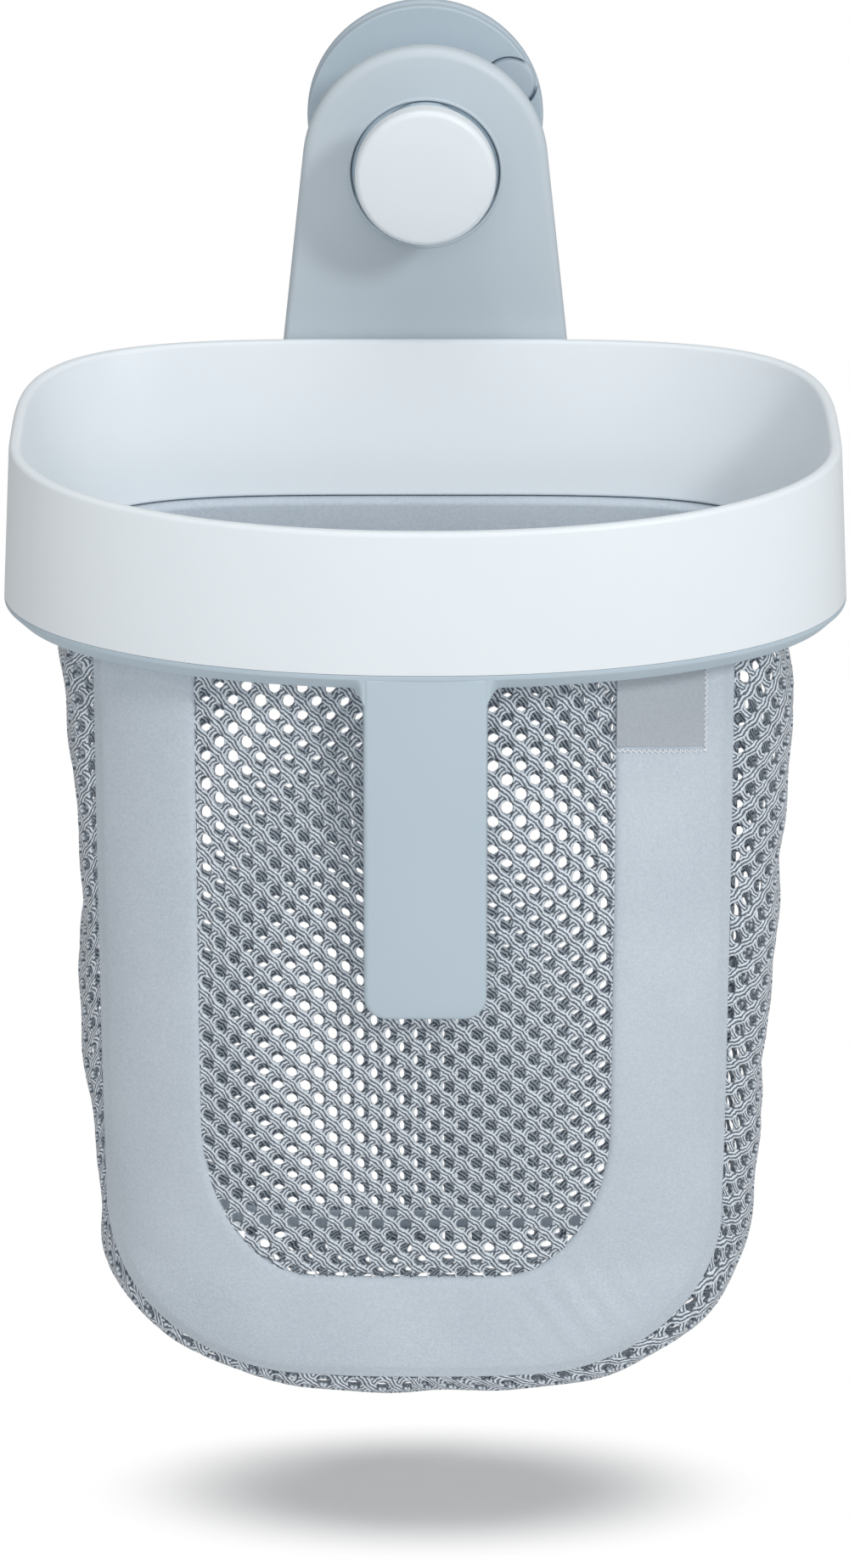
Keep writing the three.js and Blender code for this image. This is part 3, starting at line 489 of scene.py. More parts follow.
def new_material(name: str) -> tuple[Material, NodeSketch, Node]:
    """Makes an empty node material with one Principled shader.

    Args:
        name: The material's name.

    Returns:
        The material, a sketch for its nodes, and the shader node.
    """
    material = bpy.data.materials.new(name)
    material.use_nodes = True
    material.node_tree.nodes.clear()
    sketch = NodeSketch(material.node_tree)
    shader = sketch.add("ShaderNodeBsdfPrincipled")
    sketch.add("ShaderNodeOutputMaterial", {"Surface": shader.outputs[0]})
    return material, sketch, shader


# The net's holes lie in columns, every second one half a row off
NET_COLUMN_PITCH = 0.0034
NET_ROW_PITCH = 0.0072
WHITE_FINISH = PlasticFinish(
    "glossy_white", (241, 248, 253), (236, 244, 250), roughness=0.36, bump=0.05, scatter=0.08)
GREY_FINISH = PlasticFinish("satin_grey", (190, 206, 217), (185, 202, 213), roughness=0.46, bump=0.08)
# The plate's finish is the satin grey made lighter for the plate alone: painted light on the plate
PLATE_PAINTED_LIGHT_FINISH = PlasticFinish("satin_grey_painted_lighter", (207, 218, 226), (202, 214, 222), roughness=0.46, bump=0.08)
RUBBER_FINISH = PlasticFinish("soft_rubber", (188, 203, 214), (181, 196, 207), roughness=0.55, bump=0.12)
# The net's dark tone is painted shade between the threads, its light tone painted highlight on them
NET_FINISH = NetFinish(
    "knitted_net", (96, 105, 118), (230, 239, 247), NET_COLUMN_PITCH, NET_ROW_PITCH, threads=5.3)
CLOTH_FINISH = ClothFinish(
    "twill_cloth", (182, 194, 206), (216, 226, 235), rib_pitch=0.0007, heather_scale=1500.0, bump=0.25)
LABEL_FINISH = ClothFinish(
    "woven_label", (160, 168, 177), (193, 200, 208), rib_pitch=0.0005, heather_scale=2400.0, bump=0.3)
STITCH_FINISH = ClothFinish(
    "stitch_thread", (226, 232, 238), (250, 252, 255), rib_pitch=0.0004, heather_scale=3000.0, bump=0.3)
STEEL_FINISH = SteelFinish("screw_steel", (196, 198, 202), roughness=0.32)


class Palette:
    """The materials of all pieces, each made once."""

    def __init__(self) -> None:
        """Builds the materials."""
        self.white = WHITE_FINISH.build()
        self.grey = GREY_FINISH.build()
        # The plate's lighter copy of the satin grey is painted light
        self.plate = PLATE_PAINTED_LIGHT_FINISH.build()
        self.rubber = RUBBER_FINISH.build()
        self.steel = STEEL_FINISH.build()
        self.net = NET_FINISH.build()
        self.cloth = CLOTH_FINISH.build()
        self.label = LABEL_FINISH.build()
        self.thread = STITCH_FINISH.build()


def fillet_path(corners: Sequence[Corner], steps: int = 5, closed: bool = True) -> list[Point2]:
    """Rounds the corners of an outline.

    Args:
        corners: Points with the radius that each is rounded to.
        steps: Number of short chords in each round.
        closed: Whether the outline returns to its start.

    Returns:
        The rounded outline.
    """
    longest_share = 0.49
    points: list[Point2] = []
    count = len(corners)
    for index, (u, v, radius) in enumerate(corners):
        at_end = not closed and index in (0, count - 1)
        if radius <= 0 or at_end:
            points.append((u, v))
            continue
        here = np.array([u, v])
        before = np.array(corners[index - 1][:2]) - here
        after = np.array(corners[(index + 1) % count][:2]) - here
        lengths = np.linalg.norm(before), np.linalg.norm(after)
        before, after = before / lengths[0], after / lengths[1]
        half = math.acos(max(-1.0, min(1.0, float(before @ after)))) / 2
        reach = min(radius / math.tan(half), longest_share * min(lengths))
        size = reach * math.tan(half)
        middle = here + (before + after) / np.linalg.norm(before + after) * size / math.sin(half)
        first, last = here + before * reach - middle, here + after * reach - middle
        start = math.atan2(first[1], first[0])
        sweep = (math.atan2(last[1], last[0]) - start + math.pi) % FULL_TURN - math.pi
        for step in range(steps + 1):
            angle = start + sweep * step / steps
            points.append((middle[0] + size * math.cos(angle), middle[1] + size * math.sin(angle)))
    return points


def mesh_piece(name: str, vertices: Any, faces: Sequence, material: Material,
               sharp_degrees: float = SHARP_DEGREES, recalculate: bool = True) -> Object:
    """Makes a mesh object at the origin with smooth shading and outward faces.

    Args:
        name: The object's name.
        vertices: Vertex positions.
        faces: Vertex indices of each face.
        material: The finish.
        sharp_degrees: Edges above this angle stay sharp.
        recalculate: Whether to turn the faces of a closed shape outwards.

    Returns:
        The new object.
    """
    mesh = bpy.data.meshes.new(name)
    mesh.from_pydata([tuple(map(float, v)) for v in vertices], [], [tuple(map(int, f)) for f in faces])
    if recalculate:
        work = bmesh.new()
        work.from_mesh(mesh)
        bmesh.ops.recalc_face_normals(work, faces=work.faces)
        work.to_mesh(mesh)
        work.free()
    mesh.materials.append(material)
    piece = bpy.data.objects.new(name, mesh)
    bpy.context.scene.collection.objects.link(piece)
    smooth(piece, sharp_degrees)
    return piece


def smooth(piece: Object, sharp_degrees: float) -> None:
    """Shades a mesh smooth, except at edges sharper than an angle."""
    piece.data.polygons.foreach_set("use_smooth", [True] * len(piece.data.polygons))
    piece.data.set_sharp_from_angle(angle=math.radians(sharp_degrees))


def bake_modifiers(piece: Object) -> None:
    """Turns a piece's modifiers into plain mesh and removes them.

    Args:
        piece: The piece.
    """
    graph = bpy.context.evaluated_depsgraph_get()
    mesh = bpy.data.meshes.new_from_object(piece.evaluated_get(graph), depsgraph=graph)
    piece.modifiers.clear()
    piece.data = mesh


def combine(piece: Object, tool: Object, operation: str,
            sharp_degrees: float = SHARP_DEGREES) -> None:
    """Cuts a tool out of a piece, or joins it on, and removes the tool.

    Args:
        piece: The mesh that stays.
        tool: The mesh that is used up.
        operation: DIFFERENCE or UNION.
        sharp_degrees: Edges above this angle stay sharp.
    """
    modifier = piece.modifiers.new("combine", "BOOLEAN")
    modifier.operation = operation
    modifier.object = tool
    modifier.solver = "EXACT"
    bake_modifiers(piece)
    bpy.data.objects.remove(tool)
    smooth(piece, sharp_degrees)


def revolve(profile: Sequence[Point2], steps: int, centre: Point2 = (0.0, 0.0)) -> tuple[list, list]:
    """Turns a profile about a line that runs front to back.

    Args:
        profile: Radius and depth of each point. It starts and ends on the axis, or is closed.
        steps: Number of steps round.
        centre: The axis, as x and z.

    Returns:
        Vertices and faces.
    """
    on_axis = 1e-7
    vertices: list = []
    rings: list[list[int]] = []
    for radius, depth in profile:
        start = len(vertices)
        if radius < on_axis:
            vertices.append((centre[0], -depth, centre[1]))
            rings.append([start])
            continue
        for angle in (FULL_TURN * step / steps for step in range(steps)):
            x, z = centre[0] + radius * math.cos(angle), centre[1] + radius * math.sin(angle)
            vertices.append((x, -depth, z))
        rings.append(list(range(start, start + steps)))
    pairs = list(zip(rings, rings[1:]))
    if len(rings[0]) > 1:
        pairs.append((rings[-1], rings[0]))
    faces: list = []
    for near, far in pairs:
        for step in range(steps):
            after = (step + 1) % steps
            face = [near[step % len(near)], near[after % len(near)],
                    far[after % len(far)], far[step % len(far)]]
            face = [corner for place, corner in enumerate(face) if corner not in face[:place]]
            if len(face) > 2:
                faces.append(face)
    return vertices, faces


def turned_piece(name: str, corners: Sequence[Corner], material: Material, steps: int, closed: bool = False,
                 arc_steps: int = 5, centre: Point2 = (0.0, 0.0)) -> Object:
    """Makes a round piece from the corners of its profile, each a radius, a depth and a rounding."""
    return mesh_piece(name, *revolve(fillet_path(corners, arc_steps, closed), steps, centre), material)


@dataclass(frozen=True)
class Plug:
    """A plain round plug that runs front to back, to join on or to cut with."""

    radius: float
    back: float
    front: float
    edge: float = 0.0
    centre: Point2 = (0.0, 0.0)

    def build(self, name: str, steps: int, material: Material) -> Object:
        """Makes the closed plug, with its front edge rounded."""
        corners = [(0, self.back, 0), (self.radius, self.back, 0),
                   (self.radius, self.front, self.edge), (0, self.front, 0)]
        return turned_piece(name, corners, material, steps, centre=self.centre)


def grid_faces(rows: int, columns: int, wrap_rows: bool = False, wrap_columns: bool = False) -> list:
    """Lists the faces of a grid of points kept row by row.

    Args:
        rows: Number of rows.
        columns: Number of points in a row.
        wrap_rows: Whether the last row joins the first.
        wrap_columns: Whether each row is a closed ring.

    Returns:
        The faces as vertex indices.
    """
    faces = []
    for row in range(rows if wrap_rows else rows - 1):
        below = (row + 1) % rows
        for column in range(columns if wrap_columns else columns - 1):
            beside = (column + 1) % columns
            faces.append((row * columns + column, row * columns + beside,
                          below * columns + beside, below * columns + column))
    return faces


def slab_faces(rows: int, columns: int) -> list:
    """Lists the faces of a closed slab made of two equal grids, the second behind the first.

    Args:
        rows: Number of rows of each grid.
        columns: Number of points in a row.

    Returns:
        The faces as vertex indices.
    """
    faces = grid_faces(rows, columns)
    size = rows * columns
    faces += [tuple(size + corner for corner in face[::-1]) for face in faces]
    border = [*range(columns), *(row * columns + columns - 1 for row in range(1, rows)),
              *range(size - 2, size - columns - 1, -1), *(row * columns for row in range(rows - 2, 0, -1))]
    return faces + [(a, b, size + b, size + a) for a, b in zip(border, border[1:] + border[:1])]


def finish_piece(piece: Object, slot: Slot, *nodes: str, body: Optional[Body] = Body.SCOOP) -> Object:
    """Hangs a finished piece on its body, hides the CAD nodes that it replaces and logs its face count.

    Args:
        piece: The finished mesh object.
        slot: The record's material slot. Not used.
        nodes: CAD nodes that it replaces, or none where it only goes with another piece.
        body: The body it rides on, or None where it rides on none.

    Returns:
        The same piece.
    """
    if body:
        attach(piece, body.value)
    if nodes:
        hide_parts(*nodes)
    LOG.info("%s: %d faces", piece.name, len(piece.data.polygons))
    return piece


@dataclass(frozen=True)
class DPlan:
    """A flat-backed D outline seen from above, in depths from the wall."""

    half_width: float = 0.1
    back: float = 0.034
    widest: float = 0.1003
    front: float = 0.1568
    front_power: float = 2.1
    back_power: float = 4.0

    def inset(self, distance: float) -> "DPlan":
        """Returns the outline drawn in by a distance."""
        return replace(self, half_width=self.half_width - distance, back=self.back + distance,
                       front=self.front - distance)

    def point(self, turn: float) -> Point2:
        """Finds a point of the outline.

        Args:
            turn: Angle round the outline, where a quarter turn is the front centre.

        Returns:
            The point as x and depth.
        """
        across, along = math.cos(turn), math.sin(turn)
        power = 2 / (self.front_power if along > 0 else self.back_power)
        reach = self.front - self.widest if along > 0 else self.widest - self.back
        x = self.half_width * math.copysign(abs(across) ** power, across)
        return x, self.widest + reach * math.copysign(abs(along) ** power, along)

    def even_turns(self, count: int) -> list[float]:
        """Finds turns that step round the outline in equal lengths.

        Args:
            count: Number of steps.

        Returns:
            The turns, from 0 up.
        """
        fine_count = 6001
        turns = np.linspace(0, FULL_TURN, fine_count)
        points = np.array([self.point(turn) for turn in turns])
        lengths = np.concatenate([[0], np.cumsum(np.linalg.norm(np.diff(points, axis=0), axis=1))])
        return list(np.interp(np.arange(count) / count * lengths[-1], lengths, turns))

    def side_depth(self, x: Any, at_front: bool) -> Any:
        """Returns the depth of the front or back face at places across.

        Args:
            x: Distances from the middle, as an array.
            at_front: Whether to give the front face.

        Returns:
            Depths as an array.
        """
        near_corner = 0.9995
        power = self.front_power if at_front else self.back_power
        share = np.clip(np.abs(x) / self.half_width, 0, near_corner)
        rise = (1 - share ** power) ** (1 / power)
        reach = self.front - self.widest if at_front else self.back - self.widest
        return self.widest + reach * rise


def ring_loft(plan: DPlan, section_at: Callable[[float], list[Point2]], steps: int) -> tuple[list, list]:
    """Sweeps a closed section round a D outline.

    Args:
        plan: The outline at no inset.
        section_at: Gives the inset and height points at a depth.
        steps: Number of steps round.

    Returns:
        Vertices and faces.
    """
    vertices: list = []
    columns = 0
    for turn in plan.even_turns(steps):
        section = section_at(plan.point(turn)[1])
        columns = len(section)
        for inset, z in section:
            x, depth = plan.inset(inset).point(turn)
            vertices.append((x, -depth, z))
    return vertices, grid_faces(steps, columns, wrap_rows=True, wrap_columns=True)


@dataclass
class WallMount:
    """The suction cup with its release tab, the cover with its neck, and the knob."""

    palette: Palette
    cup_radius: float = 0.0291
    lip_inner_radius: float = 0.024
    rim_thickness: float = 0.0022
    disc_depth: float = 0.0033
    hollow_depth: float = 0.0016
    boss_radius: float = 0.011
    boss_depth: float = 0.015
    tab_radius: float = 0.0064
    tab_reach: float = 0.0226
    tab_angle_degrees: float = 24.0
    tab_depth: float = 0.0062
    cover_radius: float = 0.0288
    cover_back: float = 0.0036
    cover_face: float = 0.0066
    tower_radius: float = 0.0155
    tower_wall: float = 0.0025
    neck_radius: float = 0.0125
    neck_wall: float = 0.004
    pad_radius: float = 0.01785
    pad_front: float = 0.0327
    pad_z: float = -0.0054
    neck_end: float = 0.0503
    shoulder_radius: float = 0.021
    shoulder_back: float = 0.0283
    shoulder_front: float = 0.0308
    stud_bore: float = 0.0043
    pocket_radius: float = 0.0083
    pocket_back: float = 0.0097
    pocket_front: float = 0.0133
    knob_radius: float = 0.0169
    knob_back: float = 0.0506
    knob_face: float = 0.0567
    knob_bore_end: float = 0.0545
    knob_boss_radius: float = 0.0082
    knob_boss_back: float = 0.0436
    knob_edge: float = 0.0016
    knob_crown: float = 0.0002
    steps: int = 144
    tab_steps: int = 64

    def tab_place(self) -> Point2:
        """Returns the middle of the release tab as x and z."""
        angle = math.radians(self.tab_angle_degrees)
        return self.tab_reach * math.cos(angle), self.tab_reach * math.sin(angle)

    def cup(self) -> None:
        """Builds the suction cup with its tab."""
        cup = turned_piece("suction_cup_soft", [
            (0, self.hollow_depth, 0),
            (self.lip_inner_radius, 0, 0.002),
            (self.cup_radius, 0, 0.0003),
            (self.cup_radius, self.rim_thickness, 0.0008),
            (self.cup_radius - self.rim_thickness / 2, self.disc_depth, 0.0006),
            (self.boss_radius, self.disc_depth, 0.0012),
            (self.boss_radius, self.boss_depth, 0.001),
            (self.stud_bore, self.boss_depth, 0.0003),
            (self.stud_bore, self.pocket_front, 0),
            (self.pocket_radius, self.pocket_front, 0),
            (self.pocket_radius, self.pocket_back, 0),
            (0, self.pocket_back, 0),
        ], self.palette.rubber, self.steps)
        tab = Plug(self.tab_radius, self.rim_thickness / 2, self.tab_depth, edge=0.0012,
                   centre=self.tab_place())
        combine(cup, tab.build("tab_tool", self.tab_steps, self.palette.rubber), "UNION")
        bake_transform(cup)
        finish_piece(cup, Slot.RUBBER, "suction_cup", body=None)

    def cover(self) -> None:
        """Builds the rigid cover with its neck, shoulder, pad and tab notch."""
        bore = self.tower_radius - self.tower_wall
        boss_bore = self.knob_boss_radius + GAP
        cover = turned_piece("mount_cover_shell", [
            (bore, self.cover_back, 0.0003),
            (self.cover_radius, self.cover_back, 0.0004),
            (self.cover_radius, self.cover_face, 0.0005),
            (self.tower_radius, self.cover_face, 0.0015),
            (self.tower_radius, self.shoulder_back, 0.001),
            (self.shoulder_radius, self.shoulder_back, 0.0006),
            (self.shoulder_radius, self.shoulder_front, 0.0006),
            (self.neck_radius, self.shoulder_front, 0.0004),
            (self.neck_radius, self.neck_end, 0.0005),
            (boss_bore, self.neck_end, 0.0003),
            (boss_bore, self.shoulder_back, 0),
            (bore, self.shoulder_back, 0),
        ], self.palette.grey, self.steps, closed=True)
        past_face = 0.001
        notch = Plug(self.tab_radius + 2 * GAP, 0.0, self.cover_face + past_face, centre=self.tab_place())
        combine(cover, self.pad(), "UNION", sharp_degrees=30.0)
        tool = notch.build("notch_tool", self.tab_steps, self.palette.grey)
        combine(cover, tool, "DIFFERENCE", sharp_degrees=30.0)
        finish_piece(cover, Slot.GREY, "mount_cover", body=Body.WALL_MOUNT)

    def pad(self) -> Object:
        """Builds the round pad that nearly fills the hang hole, open round the neck.

        Returns:
            The closed pad.
        """
        foot = (self.shoulder_back + self.shoulder_front) / 2
        plug = Plug(self.pad_radius, foot, self.pad_front, edge=0.0004, centre=(0.0, self.pad_z))
        bore = Plug(self.neck_radius - self.neck_wall / 2, 0.0, self.knob_face)
        pad = plug.build("pad_tool", self.steps, self.palette.grey)
        combine(pad, bore.build("pad_bore_tool", self.steps, self.palette.grey), "DIFFERENCE")
        return pad

    def knob(self) -> None:
        """Builds the plain round knob with its inner boss."""
        knob = turned_piece("lock_knob_round", [
            (0, self.knob_bore_end, 0),
            (self.stud_bore, self.knob_bore_end, 0),
            (self.stud_bore, self.knob_boss_back, 0.0003),
            (self.knob_boss_radius, self.knob_boss_back, 0.0005),
            (self.knob_boss_radius, self.knob_back, 0.0003),
            (self.knob_radius, self.knob_back, 0.0009),
            (self.knob_radius, self.knob_face - self.knob_crown, self.knob_edge),
            (self.knob_radius / 2, self.knob_face, 0.004),
            (0, self.knob_face, 0),
        ], self.palette.white, self.steps, arc_steps=8)
        finish_piece(knob, Slot.WHITE, "lock_knob", body=Body.KNOB)


@dataclass
class BackPlate:
    """The tombstone plate with its hang hole, collar and hollow back."""

    palette: Palette
    back: float = 0.0282
    web_back: float = 0.0311
    front: float = 0.0337
    top_radius: float = 0.0298
    taper_degrees: float = 6.2
    centre_z: float = -0.0041
    bottom_z: float = -0.0865
    wall: float = 0.003
    hole_z: float = -0.0054
    hole_radius: float = 0.0182
    collar_width: float = 0.0006
    collar_height: float = 0.0003
    collar_slope: float = 0.0002
    edge_radius: float = 0.0024
    corner_sharpness: float = 26.0
    steps: int = 480

    def reach(self, angle: float, inset: float) -> float:
        """Returns how far the outline lies from its middle.

        Args:
            angle: Direction from the middle, counted from +X towards +Z.
            inset: Distance that the outline is drawn in.

        Returns:
            The distance along that direction.
        """
        taper = math.radians(self.taper_degrees)
        folded = angle if math.cos(angle) >= 0 else math.pi - angle
        folded = (folded + math.pi) % FULL_TURN - math.pi
        radius = self.top_radius - inset
        if folded >= taper:
            return radius
        side = math.cos(folded - taper) / radius
        floor = max(0.0, -math.sin(folded)) / (self.centre_z - self.bottom_z - inset)
        power = self.corner_sharpness
        return (max(side, TINY) ** power + floor ** power) ** (-1 / power)

    def hole_reach(self, angle: float, radius: float) -> float:
        """Returns how far a circle round the hang hole lies from the outline's middle.

        Args:
            angle: Direction from the outline's middle.
            radius: The circle's radius.

        Returns:
            The distance along that direction.
        """
        drop = self.hole_z - self.centre_z
        along = drop * math.sin(angle)
        return along + math.sqrt(radius ** 2 - drop ** 2 + along ** 2)

    def plate(self) -> None:
        """Builds the plate as one closed ring from the hole to the outer edge and back."""
        raised = self.front + self.collar_height
        vertices: list = []
        columns = 0
        for step in range(self.steps):
            angle = FULL_TURN * step / self.steps
            outer, inner = self.reach(angle, 0), self.reach(angle, self.wall)
            hole = self.hole_reach(angle, self.hole_radius)
            collar = self.hole_reach(angle, self.hole_radius + self.collar_width)
            section = fillet_path([
                (hole, self.web_back, 0.0004),
                (hole, raised, 0.0003),
                (collar, raised, 0.0002),
                (collar + self.collar_slope, self.front, 0.0002),
                (outer, self.front, self.edge_radius),
                (outer, self.back, 0.0014),
                (inner, self.back, 0.0008),
                (inner, self.web_back, 0.0012),
            ])
            columns = len(section)
            for radius, depth in section:
                vertices.append((radius * math.cos(angle), -depth, self.centre_z + radius * math.sin(angle)))
        faces = grid_faces(self.steps, columns, wrap_rows=True, wrap_columns=True)
        # The plate wears the lighter copy of the satin grey, which is painted light
        plate = mesh_piece("back_plate_shell", vertices, faces, self.palette.plate, sharp_degrees=50.0)
        finish_piece(plate, Slot.GREY, "back_plate")


@dataclass
class RimFrame:
    """The white rim and the grey ring with its paddle handle."""

    palette: Palette
    plan: DPlan = DPlan()
    seam_z: float = -0.088
    seam_gap: float = 0.0001
    back_height: float = 0.0415
    front_height: float = 0.0341
    draft: float = 0.002
    outer_wall: float = 0.003
    inner_wall: float = 0.0025
    lip_radius: float = 0.0013
    lip_round_share: float = 0.97
    inner_inset: float = 0.0138
    inner_bottom_z: float = -0.0834
    roof_drop: float = 0.0095
    roof_slope: float = 0.0005
    ring_height: float = 0.0046
    ring_edge: float = 0.0012
    ring_chamfer: float = 0.0034
    ring_width: float = 0.0145
    ring_floor: float = 0.0025
    ring_floor_inset: float = 0.001
    ring_inner_wall: float = 0.0025
    ring_inner_top_z: float = -0.0873
    handle_half_width: float = 0.0144
    handle_bottom_z: float = -0.175
    handle_front: float = 0.1566
    handle_thickness: float = 0.005
    handle_corner: float = 0.0055
    handle_fillet: float = 0.0028
    handle_edge: float = 0.0013
    steps: int = 300

    def rim_section(self, depth: float) -> list[Point2]:
        """Draws the rim's section.

        Args:
            depth: Distance in front of the wall.

        Returns:
            The section as inset and height points.
        """
        share = (depth - self.plan.back) / (self.plan.front - self.plan.back)
        top = self.seam_z + self.back_height + share * (self.front_height - self.back_height)
        roof = top - self.roof_drop
        inside = self.draft * (roof - self.seam_z) / (top - self.seam_z) + self.outer_wall
        lip, lip_round = 2 * self.lip_radius, self.lip_round_share * self.lip_radius
        return fillet_path([
            (0, self.seam_z, 0.0001),
            (self.draft, top, lip_round),
            (self.draft + lip, top, lip_round),
            (self.inner_inset, self.inner_bottom_z, 0.0008),
            (self.inner_inset - self.inner_wall, self.inner_bottom_z, 0.0004),
            (inside + self.roof_slope, roof, 0),
            (inside, roof, 0),
            (self.outer_wall, self.seam_z, 0.0004),
        ], steps=6)

    def rim(self) -> None:
        """Builds the white rim."""
        loft = ring_loft(self.plan, self.rim_section, self.steps)
        rim = mesh_piece("upper_rim_shell", *loft, self.palette.white, sharp_degrees=50.0)
        finish_piece(rim, Slot.WHITE, "upper_rim")

    def ring_section(self, depth: float) -> list[Point2]:
        """Returns the ring's section as inset and height points, the same at every depth."""
        bottom = self.seam_z - self.ring_height
        return fillet_path([
            (0, self.seam_z - self.seam_gap, 0.0001),
            (0, self.seam_z - self.ring_edge, 0.0008),
            (self.ring_chamfer, bottom, 0.0012),
            (self.ring_width, bottom, 0.0006),
            (self.ring_width, self.ring_inner_top_z, 0.0006),
            (self.ring_width - self.ring_inner_wall, self.ring_inner_top_z, 0.0006),
            (self.ring_width - self.ring_inner_wall, bottom + self.ring_floor, 0),
            (self.ring_chamfer + self.ring_floor_inset, bottom + self.ring_floor, 0),
            (self.outer_wall, self.seam_z - self.ring_edge, 0),
            (self.outer_wall, self.seam_z - self.seam_gap, 0.0004),
        ])

    def handle_blank(self) -> Object:
        """Builds the flat paddle, ready to join to the ring.

        Returns:
            The closed paddle.
        """
        bevel_segments, bevel_degrees = 4, 60.0
        half, top = self.handle_half_width, self.seam_z - self.ring_edge / 2
        outline = fillet_path([
            (-half, top, 0),
            (-half, self.handle_bottom_z, self.handle_corner),
            (half, self.handle_bottom_z, self.handle_corner),
            (half, top, 0),
        ], steps=10)
        count = len(outline)
        vertices = [(x, -self.handle_front, z) for x, z in outline]
        vertices += [(x, self.handle_thickness - self.handle_front, z) for x, z in outline]
        faces = [tuple(range(count)), tuple(range(2 * count - 1, count - 1, -1))]
        faces += [(i, (i + 1) % count, count + (i + 1) % count, count + i) for i in range(count)]
        paddle = mesh_piece("paddle_tool", vertices, faces, self.palette.grey)
        bevel = paddle.modifiers.new("round", "BEVEL")
        bevel.width = self.handle_edge
        bevel.segments = bevel_segments
        bevel.limit_method = "ANGLE"
        bevel.angle_limit = math.radians(bevel_degrees)
        bake_modifiers(paddle)
        return paddle

    def root_cove(self, side: float) -> Object:
        """Builds the rounded corner between the paddle's edge and the ring.

        Args:
            side: -1 for the left corner, 1 for the right one.

        Returns:
            The closed corner piece.
        """
        rows, columns, overlap, sunk, thickness = 13, 9, 0.0005, 0.0003, 0.0025
        fillet, chamfer_height = self.handle_fillet, self.ring_height - self.ring_edge
        out = np.repeat(np.linspace(-overlap, fillet, rows)[:, None], columns, axis=1)
        share = np.clip(out / fillet, 0, 1)
        low = self.seam_z - self.ring_height - fillet + fillet * np.sqrt(1 - (1 - share) ** 2)
        top = self.seam_z - self.ring_edge / 2
        z = low + (top - low) * np.linspace(0, 1, columns)[None, :]
        x = side * (self.handle_half_width + out)
        chamfer = self.ring_chamfer * np.clip((self.seam_z - self.ring_edge - z) / chamfer_height, 0, 1)
        ring_depth = self.plan.side_depth(x, True) - chamfer
        ease = share * share * (3 - 2 * share)
        depth = self.handle_front + (ring_depth - self.handle_front) * ease - sunk
        front = np.stack([x, -depth, z], axis=2).reshape(-1, 3)
        vertices = np.concatenate([front, front + np.array([0.0, thickness, 0.0])])
        return mesh_piece("cove_tool", vertices, slab_faces(rows, columns), self.palette.grey)

    def ring(self) -> None:
        """Builds the grey ring with the paddle joined on."""
        loft = ring_loft(self.plan, self.ring_section, self.steps)
        ring = mesh_piece("lower_ring_shell", *loft, self.palette.grey)
        for tool in (self.handle_blank(), self.root_cove(-1.0), self.root_cove(1.0)):
            combine(ring, tool, "UNION", sharp_degrees=45.0)
        finish_piece(ring, Slot.GREY, "lower_ring")


@dataclass
class ScrewSet:
    """A set of equal pan-head screws, placed by Geometry Nodes."""

    name: str
    nodes: tuple[str, ...]
    material: Material
    shank_radius: float
    head_radius: float
    head_height: float
    length: float
    head_along: Point3
    turn_x: float
    flat_share: float = 0.6
    brim_share: float = 0.3
    slot_reach_share: float = 0.62
    slot_width_share: float = 0.14
    slot_floor_share: float = 0.45

    def blank(self) -> Object:
        """Builds one screw with a cross slot, its shank running along -Z from under the head.

        Returns:
            The screw, with the underside of its head at the origin.
        """
        profile = fillet_path([
            (0, -self.head_height, 0),
            (self.flat_share * self.head_radius, -self.head_height, 0),
            (self.head_radius, -self.brim_share * self.head_height, 0.0006),
            (self.head_radius, 0, 0.0002),
            (self.shank_radius, 0, 0),
            (self.shank_radius, self.length - self.shank_radius, 0),
            (0, self.length, 0),
        ], steps=3, closed=False)
        vertices, faces = revolve(profile, steps=24)
        standing = [(x, z, y) for x, y, z in vertices]
        screw = mesh_piece(self.name + "_blank", standing, faces, self.material)
        arm, width = self.slot_reach_share * self.head_radius, self.slot_width_share * self.head_radius
        low, high = self.slot_floor_share * self.head_height, 2 * self.head_height
        for wide, deep in ((arm, width), (width, arm)):
            box = [(x * wide, y * deep, z) for x in (-1, 1) for y in (-1, 1) for z in (low, high)]
            sides = [(0, 1, 3, 2), (4, 6, 7, 5), (0, 4, 5, 1), (2, 3, 7, 6), (0, 2, 6, 4), (1, 5, 7, 3)]
            combine(screw, mesh_piece("slot_tool", box, sides, self.material), "DIFFERENCE")
        return screw

    def tree(self) -> NodeTree:
        """Makes the tree that sets one screw on each point of a mesh.

        Returns:
            The Geometry Nodes tree.
        """
        sketch, given = new_tree(self.name + "_placing", {
            "Geometry": "Geometry", "Screw": "Object", "Turn": "Rotation", "Finish": "Material"})
        placed = sketch.scatter(given["Geometry"], given["Screw"], given["Turn"])
        return sketch.close(placed, given["Finish"])

    def seats(self) -> list[Point3]:
        """Finds where the screws sit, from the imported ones.

        Returns:
            The middle of the underside of each head.
        """
        places = []
        along = np.array(self.head_along)
        for node in self.nodes:
            low, high = (np.array(corner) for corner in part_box(node))
            middle = (low + high) / 2
            top = np.where(along > 0, high, np.where(along < 0, low, middle))
            places.append(tuple(top - along * self.head_height))
        return places

    def build(self) -> None:
        """Places all screws of the set and makes them one plain mesh."""
        blank = self.blank()
        screws = mesh_piece(self.name, self.seats(), [], self.material, recalculate=False)
        turn = (self.turn_x, 0.0, 0.0)
        grow(screws, self.tree(), {"Screw": blank, "Turn": turn, "Finish": self.material})
        bake_modifiers(screws)
        bpy.data.objects.remove(blank)
        smooth(screws, sharp_degrees=35.0)
        finish_piece(screws, Slot.STEEL, *self.nodes)


